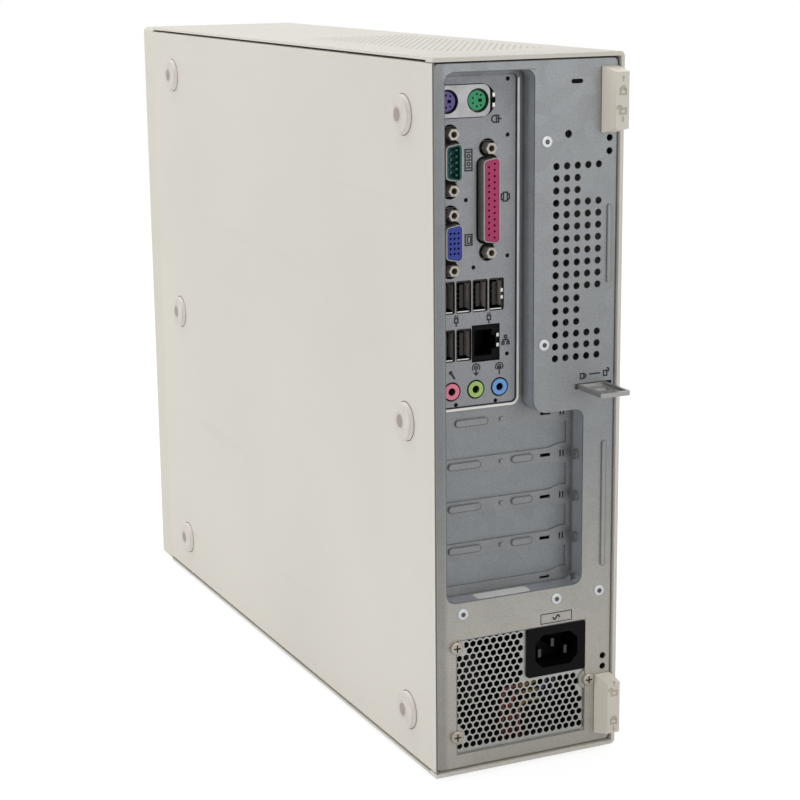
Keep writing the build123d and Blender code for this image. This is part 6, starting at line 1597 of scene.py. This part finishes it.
@dataclass
class SocketField:
    """The shield with its sockets, their contacts and its printed marks."""

    ridge: float = 0.7 * MM
    sheet: float = 0.8 * MM
    groove: float = 0.05 * MM
    corner: float = 4.0
    corner_steps: int = 6
    ridge_middle: float = 0.65
    ridge_width: float = 1.1
    groove_middle: float = 1.6
    groove_width: float = 0.6
    marks: MarkPlaces = (
        (Mark.MOUSE, 10.4, 307.4), (Mark.SERIAL, 24.2, 289.7), (Mark.PRINTER, 5.5, 272.2),
        (Mark.SCREEN, 24.2, 253.8), (Mark.PLUG, 30.6, 217.4), (Mark.PLUG, 13.9, 217.4),
        (Mark.NETWORK, 5.3, 206.3), (Mark.MICROPHONE, 32.8, 192.5), (Mark.SOUND_OUT, 20.5, 193.6),
        (Mark.SOUND_IN, 8.5, 193.1))
    holes: Tuple[Point, ...] = (
        (4.4, 325.0), (4.4, 300.1), (25.5, 271.9), (21.8, 241.1),
        (4.4, 245.3), (4.5, 199.8), (30.9, 178.2), (10.5, 178.2))
    hole_shade_radius: float = 1.4
    flange_shades: Tuple[Triple, ...] = (
        (33.5, 289.3, 30.8), (33.5, 253.3, 30.8), (14.7, 271.3, 52.8))
    flange_shade_width: float = 12.2
    jacks: Tuple[Point, ...] = ((33.0, 184.54), (20.7, 184.54), (8.4, 184.54))
    jack_shade_ring: Pair = (4.12, 0.7)
    springs: Tuple[Point, ...] = (
        (11.5, 318.2), (11.5, 313.6), (7.3, 229.6), (7.3, 226.4), (9.4, 209.0), (9.4, 204.4))
    spring_size: Triple = (1.2 * MM, 0.1 * MM, 1.6 * MM)
    usb_sockets: Tuple[Point, ...] = (
        (35.1, 227.94), (26.75, 227.94), (18.4, 227.94), (10.05, 227.94),
        (35.1, 205.79), (26.75, 205.79))
    lip_size: Triple = (6.0 * MM, 0.1 * MM, 0.5 * MM)
    lip_drop: float = 6.85
    wall_size: Triple = (0.1 * MM, 4.4 * MM, 11.6 * MM)
    wall_aside: float = 2.98
    wall_sink: float = 2.6 * MM
    contact_size: Triple = (0.1 * MM, 8.0 * MM, 1.1 * MM)
    contact_rises: Tuple[float, ...] = (-3.5, -1.0, 1.0, 3.5)
    contact_aside: float = 0.95
    contact_sink: float = 6.0 * MM
    network_contacts: Triple = (20.95, 205.79, 1.02)
    network_count: int = 8
    network_size: Triple = (0.1 * MM, 8.0 * MM, 0.5 * MM)

    def build(self) -> None:
        """Dress the shield and every socket, print the marks, lay painted light and shade, and add
        the small metal parts.
        """
        for finish, node in (
                (SHIELD_TIN, "io_shield"), (PLATE, "ps2_shell"), (SHELL, "d_sub_shells"),
                (USB_SHELL, "usb_shells"), (BLACK, "lan_socket"), (TONGUE, "usb_tongues"),
                (NICKEL, "port_jackscrews"), (PURPLE, "keyboard_socket"), (GREEN, "mouse_socket"),
                (TEAL, "serial_insert"), (BLUE, "vga_insert"), (MAGENTA, "parallel_insert"),
                (PINK, "microphone_jack"), (LIME, "line_out_jack"), (SKY, "line_in_jack")):
            dress(finish, node)
        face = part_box("io_shield")[1].y - self.ridge
        Drawing(face).marks(self.marks).piece("shield_marks", INK_AND_GROOVE_SHADE, "dark_plastic")
        self.line_ridge(face)
        self.lay_gap_shades(face - self.sheet)
        self.place_metal(face)

    def edge(self, inset: float) -> List[Point]:
        """A line along the shield's right and lower edges.

        Args:
            inset: How far inside the edge it runs, in millimetres.

        Returns:
            Its points to the right and up, in millimetres.
        """
        low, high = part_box("io_shield")
        right, bottom = -low.x / MM - self.corner, low.z / MM + self.corner
        radius, steps = self.corner - inset, self.corner_steps
        turns = [math.pi / 2 * step / steps for step in range(steps + 1)]
        bend = [(right + radius * math.cos(turn), bottom - radius * math.sin(turn))
                for turn in turns]
        start = (right + radius, high.z / MM - self.corner)
        return [start, *bend, (-high.x / MM + self.corner, bottom - radius)]

    def line_ridge(self, face: float) -> None:
        """Lay a painted highlight along the shield's ridge and painted shade in the groove beside
        it.

        Args:
            face: The depth of the shield's face.
        """
        # Painted highlight on the ridge and painted shade in the groove.
        for name, depth, inset, width, finish, slot in (
                ("shield_ridge_edge", face + self.ridge, self.ridge_middle, self.ridge_width,
                 SPRING_AND_HIGHLIGHT, "shield_tin"),
                ("shield_groove", face - self.groove, self.groove_middle, self.groove_width,
                 INK_AND_GROOVE_SHADE, "dark_plastic")):
            pen = Drawing(depth)
            pen.line(self.edge(inset), width)
            pen.piece(name, finish, slot)

    def lay_gap_shades(self, back: float) -> None:
        """Lay dark sheets of painted shade on the flanges, round the jacks and behind the shield's
        small holes.

        Args:
            back: The depth of the shield's rear side.
        """
        # Painted shade: dark sheets behind the gaps round the D-sub shells and the jacks.
        pen = Drawing(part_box("port_jackscrews")[0].y)
        for x, z, length in self.flange_shades:
            a, b = self.flange_shade_width / 2, length / 2
            pen.at(x, z).polygon([(-a, -b), (a, -b), (a, b), (-a, b)])
        for x, z in self.jacks:
            pen.at(x, z).ring((0, 0), *self.jack_shade_ring)
        pen.piece("socket_gaskets", BLACK, "black_plastic")
        # Painted shade: dark discs behind the shield's small holes.
        pen = Drawing(back - self.groove, self.groove)
        for x, z in self.holes:
            pen.at(x, z).disc((0, 0), self.hole_shade_radius)
        pen.piece("shield_hole_backs", BLACK, "black_plastic")

    def place_metal(self, face: float) -> None:
        """Repeat the spring tabs, the shells' lips, the shells' walls in painted light, and the
        sockets' contacts.

        Args:
            face: The depth of the shield's face.
        """
        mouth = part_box("usb_shells")[1].y
        x, z, pitch = self.network_contacts
        middle = (self.network_count - 1) / 2
        springs = [(a * MM, face, b * MM) for a, b in self.springs]
        lips = [(a * MM, mouth, (b - self.lip_drop) * MM) for a, b in self.usb_sockets]
        walls = [((a - self.wall_aside) * MM, mouth - self.wall_sink, b * MM)
                 for a, b in self.usb_sockets]
        contacts = [((a + self.contact_aside) * MM, mouth - self.contact_sink, (b + rise) * MM)
                    for a, b in self.usb_sockets for rise in self.contact_rises]
        network = [(x * MM, mouth - self.contact_sink, (z + (step - middle) * pitch) * MM)
                   for step in range(self.network_count)]
        tree = strip_tree()
        for name, places, size, finish, slot in (
                ("spring_tabs", springs, self.spring_size, SPRING_AND_HIGHLIGHT, "connector_shell"),
                ("usb_lips", lips, self.lip_size, SPRING_AND_HIGHLIGHT, "connector_shell"),
                ("usb_walls", walls, self.wall_size, USB_WALL, "connector_shell"),
                ("usb_contacts", contacts, self.contact_size, CONTACT, "contact_metal"),
                ("network_contacts", network, self.network_size, CONTACT, "contact_metal")):
            tree.piece(name, places, {"Size": size}, finish, slot)


@dataclass
class PowerSupply:
    """The power supply with its mesh, inlet, fan and leads."""

    leads: Tuple[Colour, ...] = (srgb(70, 80, 118), srgb(158, 132, 66), srgb(136, 64, 52))

    def build(self) -> None:
        """Dress the supply's pieces, with each third of the leads in its own colour."""
        low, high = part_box("psu_leads")
        step = (high.x - low.x) / 3
        leads = ColouredLeads("coloured_lead_insulation", *self.leads,
                              (low.x + step, low.x + 2 * step))
        dress(ZINC, "psu_case")
        dress(GRILLE, "psu_grille")
        dress(BLACK, "psu_inlet")
        dress(PIN, "inlet_pins")
        dress(DARK, "psu_fan_frame", "psu_fan_rotor")
        dress(SUPPLY_BOARD, "psu_circuit")
        dress(leads, "psu_leads")


@dataclass
class Insides:
    """The main board, its cooler and parts, and the drives."""

    def build(self) -> None:
        """Dress everything under the cover."""
        dress(BOARD, "motherboard", "memory_modules", "front_board")
        dress(NICKEL, "board_screws")
        dress(ALUMINIUM, "cpu_heatsink", "chipset_heatsink", "hard_disk")
        dress(DARK, "processor", "cpu_fan_frame", "cpu_fan_rotor", "board_components",
              "front_sockets")
        dress(BLACK, "board_sockets")
        dress(ZINC, "front_plate", "drive_cage", "disk_bracket", "optical_drive_case")


@dataclass
class FrontBezel:
    """The moulded front with its drive, button and lamp."""

    def build(self) -> None:
        """Dress the front's pieces."""
        dress(BEZEL, "front_bezel", "optical_drive_front", "optical_tray", "optical_eject_button",
              "power_button")
        dress(LENS, "power_lamp")


def main() -> None:
    """Build the studio and the computer, piece by piece."""
    logging.basicConfig(level=logging.INFO, format="%(name)s: %(message)s")
    for part in (Studio(), PaintedCase(), RearPanel(), SocketField(), PowerSupply(), Insides(),
                 FrontBezel()):
        part.build()
        LOG.info("%s is done", type(part).__name__)


if __name__ == "__main__":
    main()
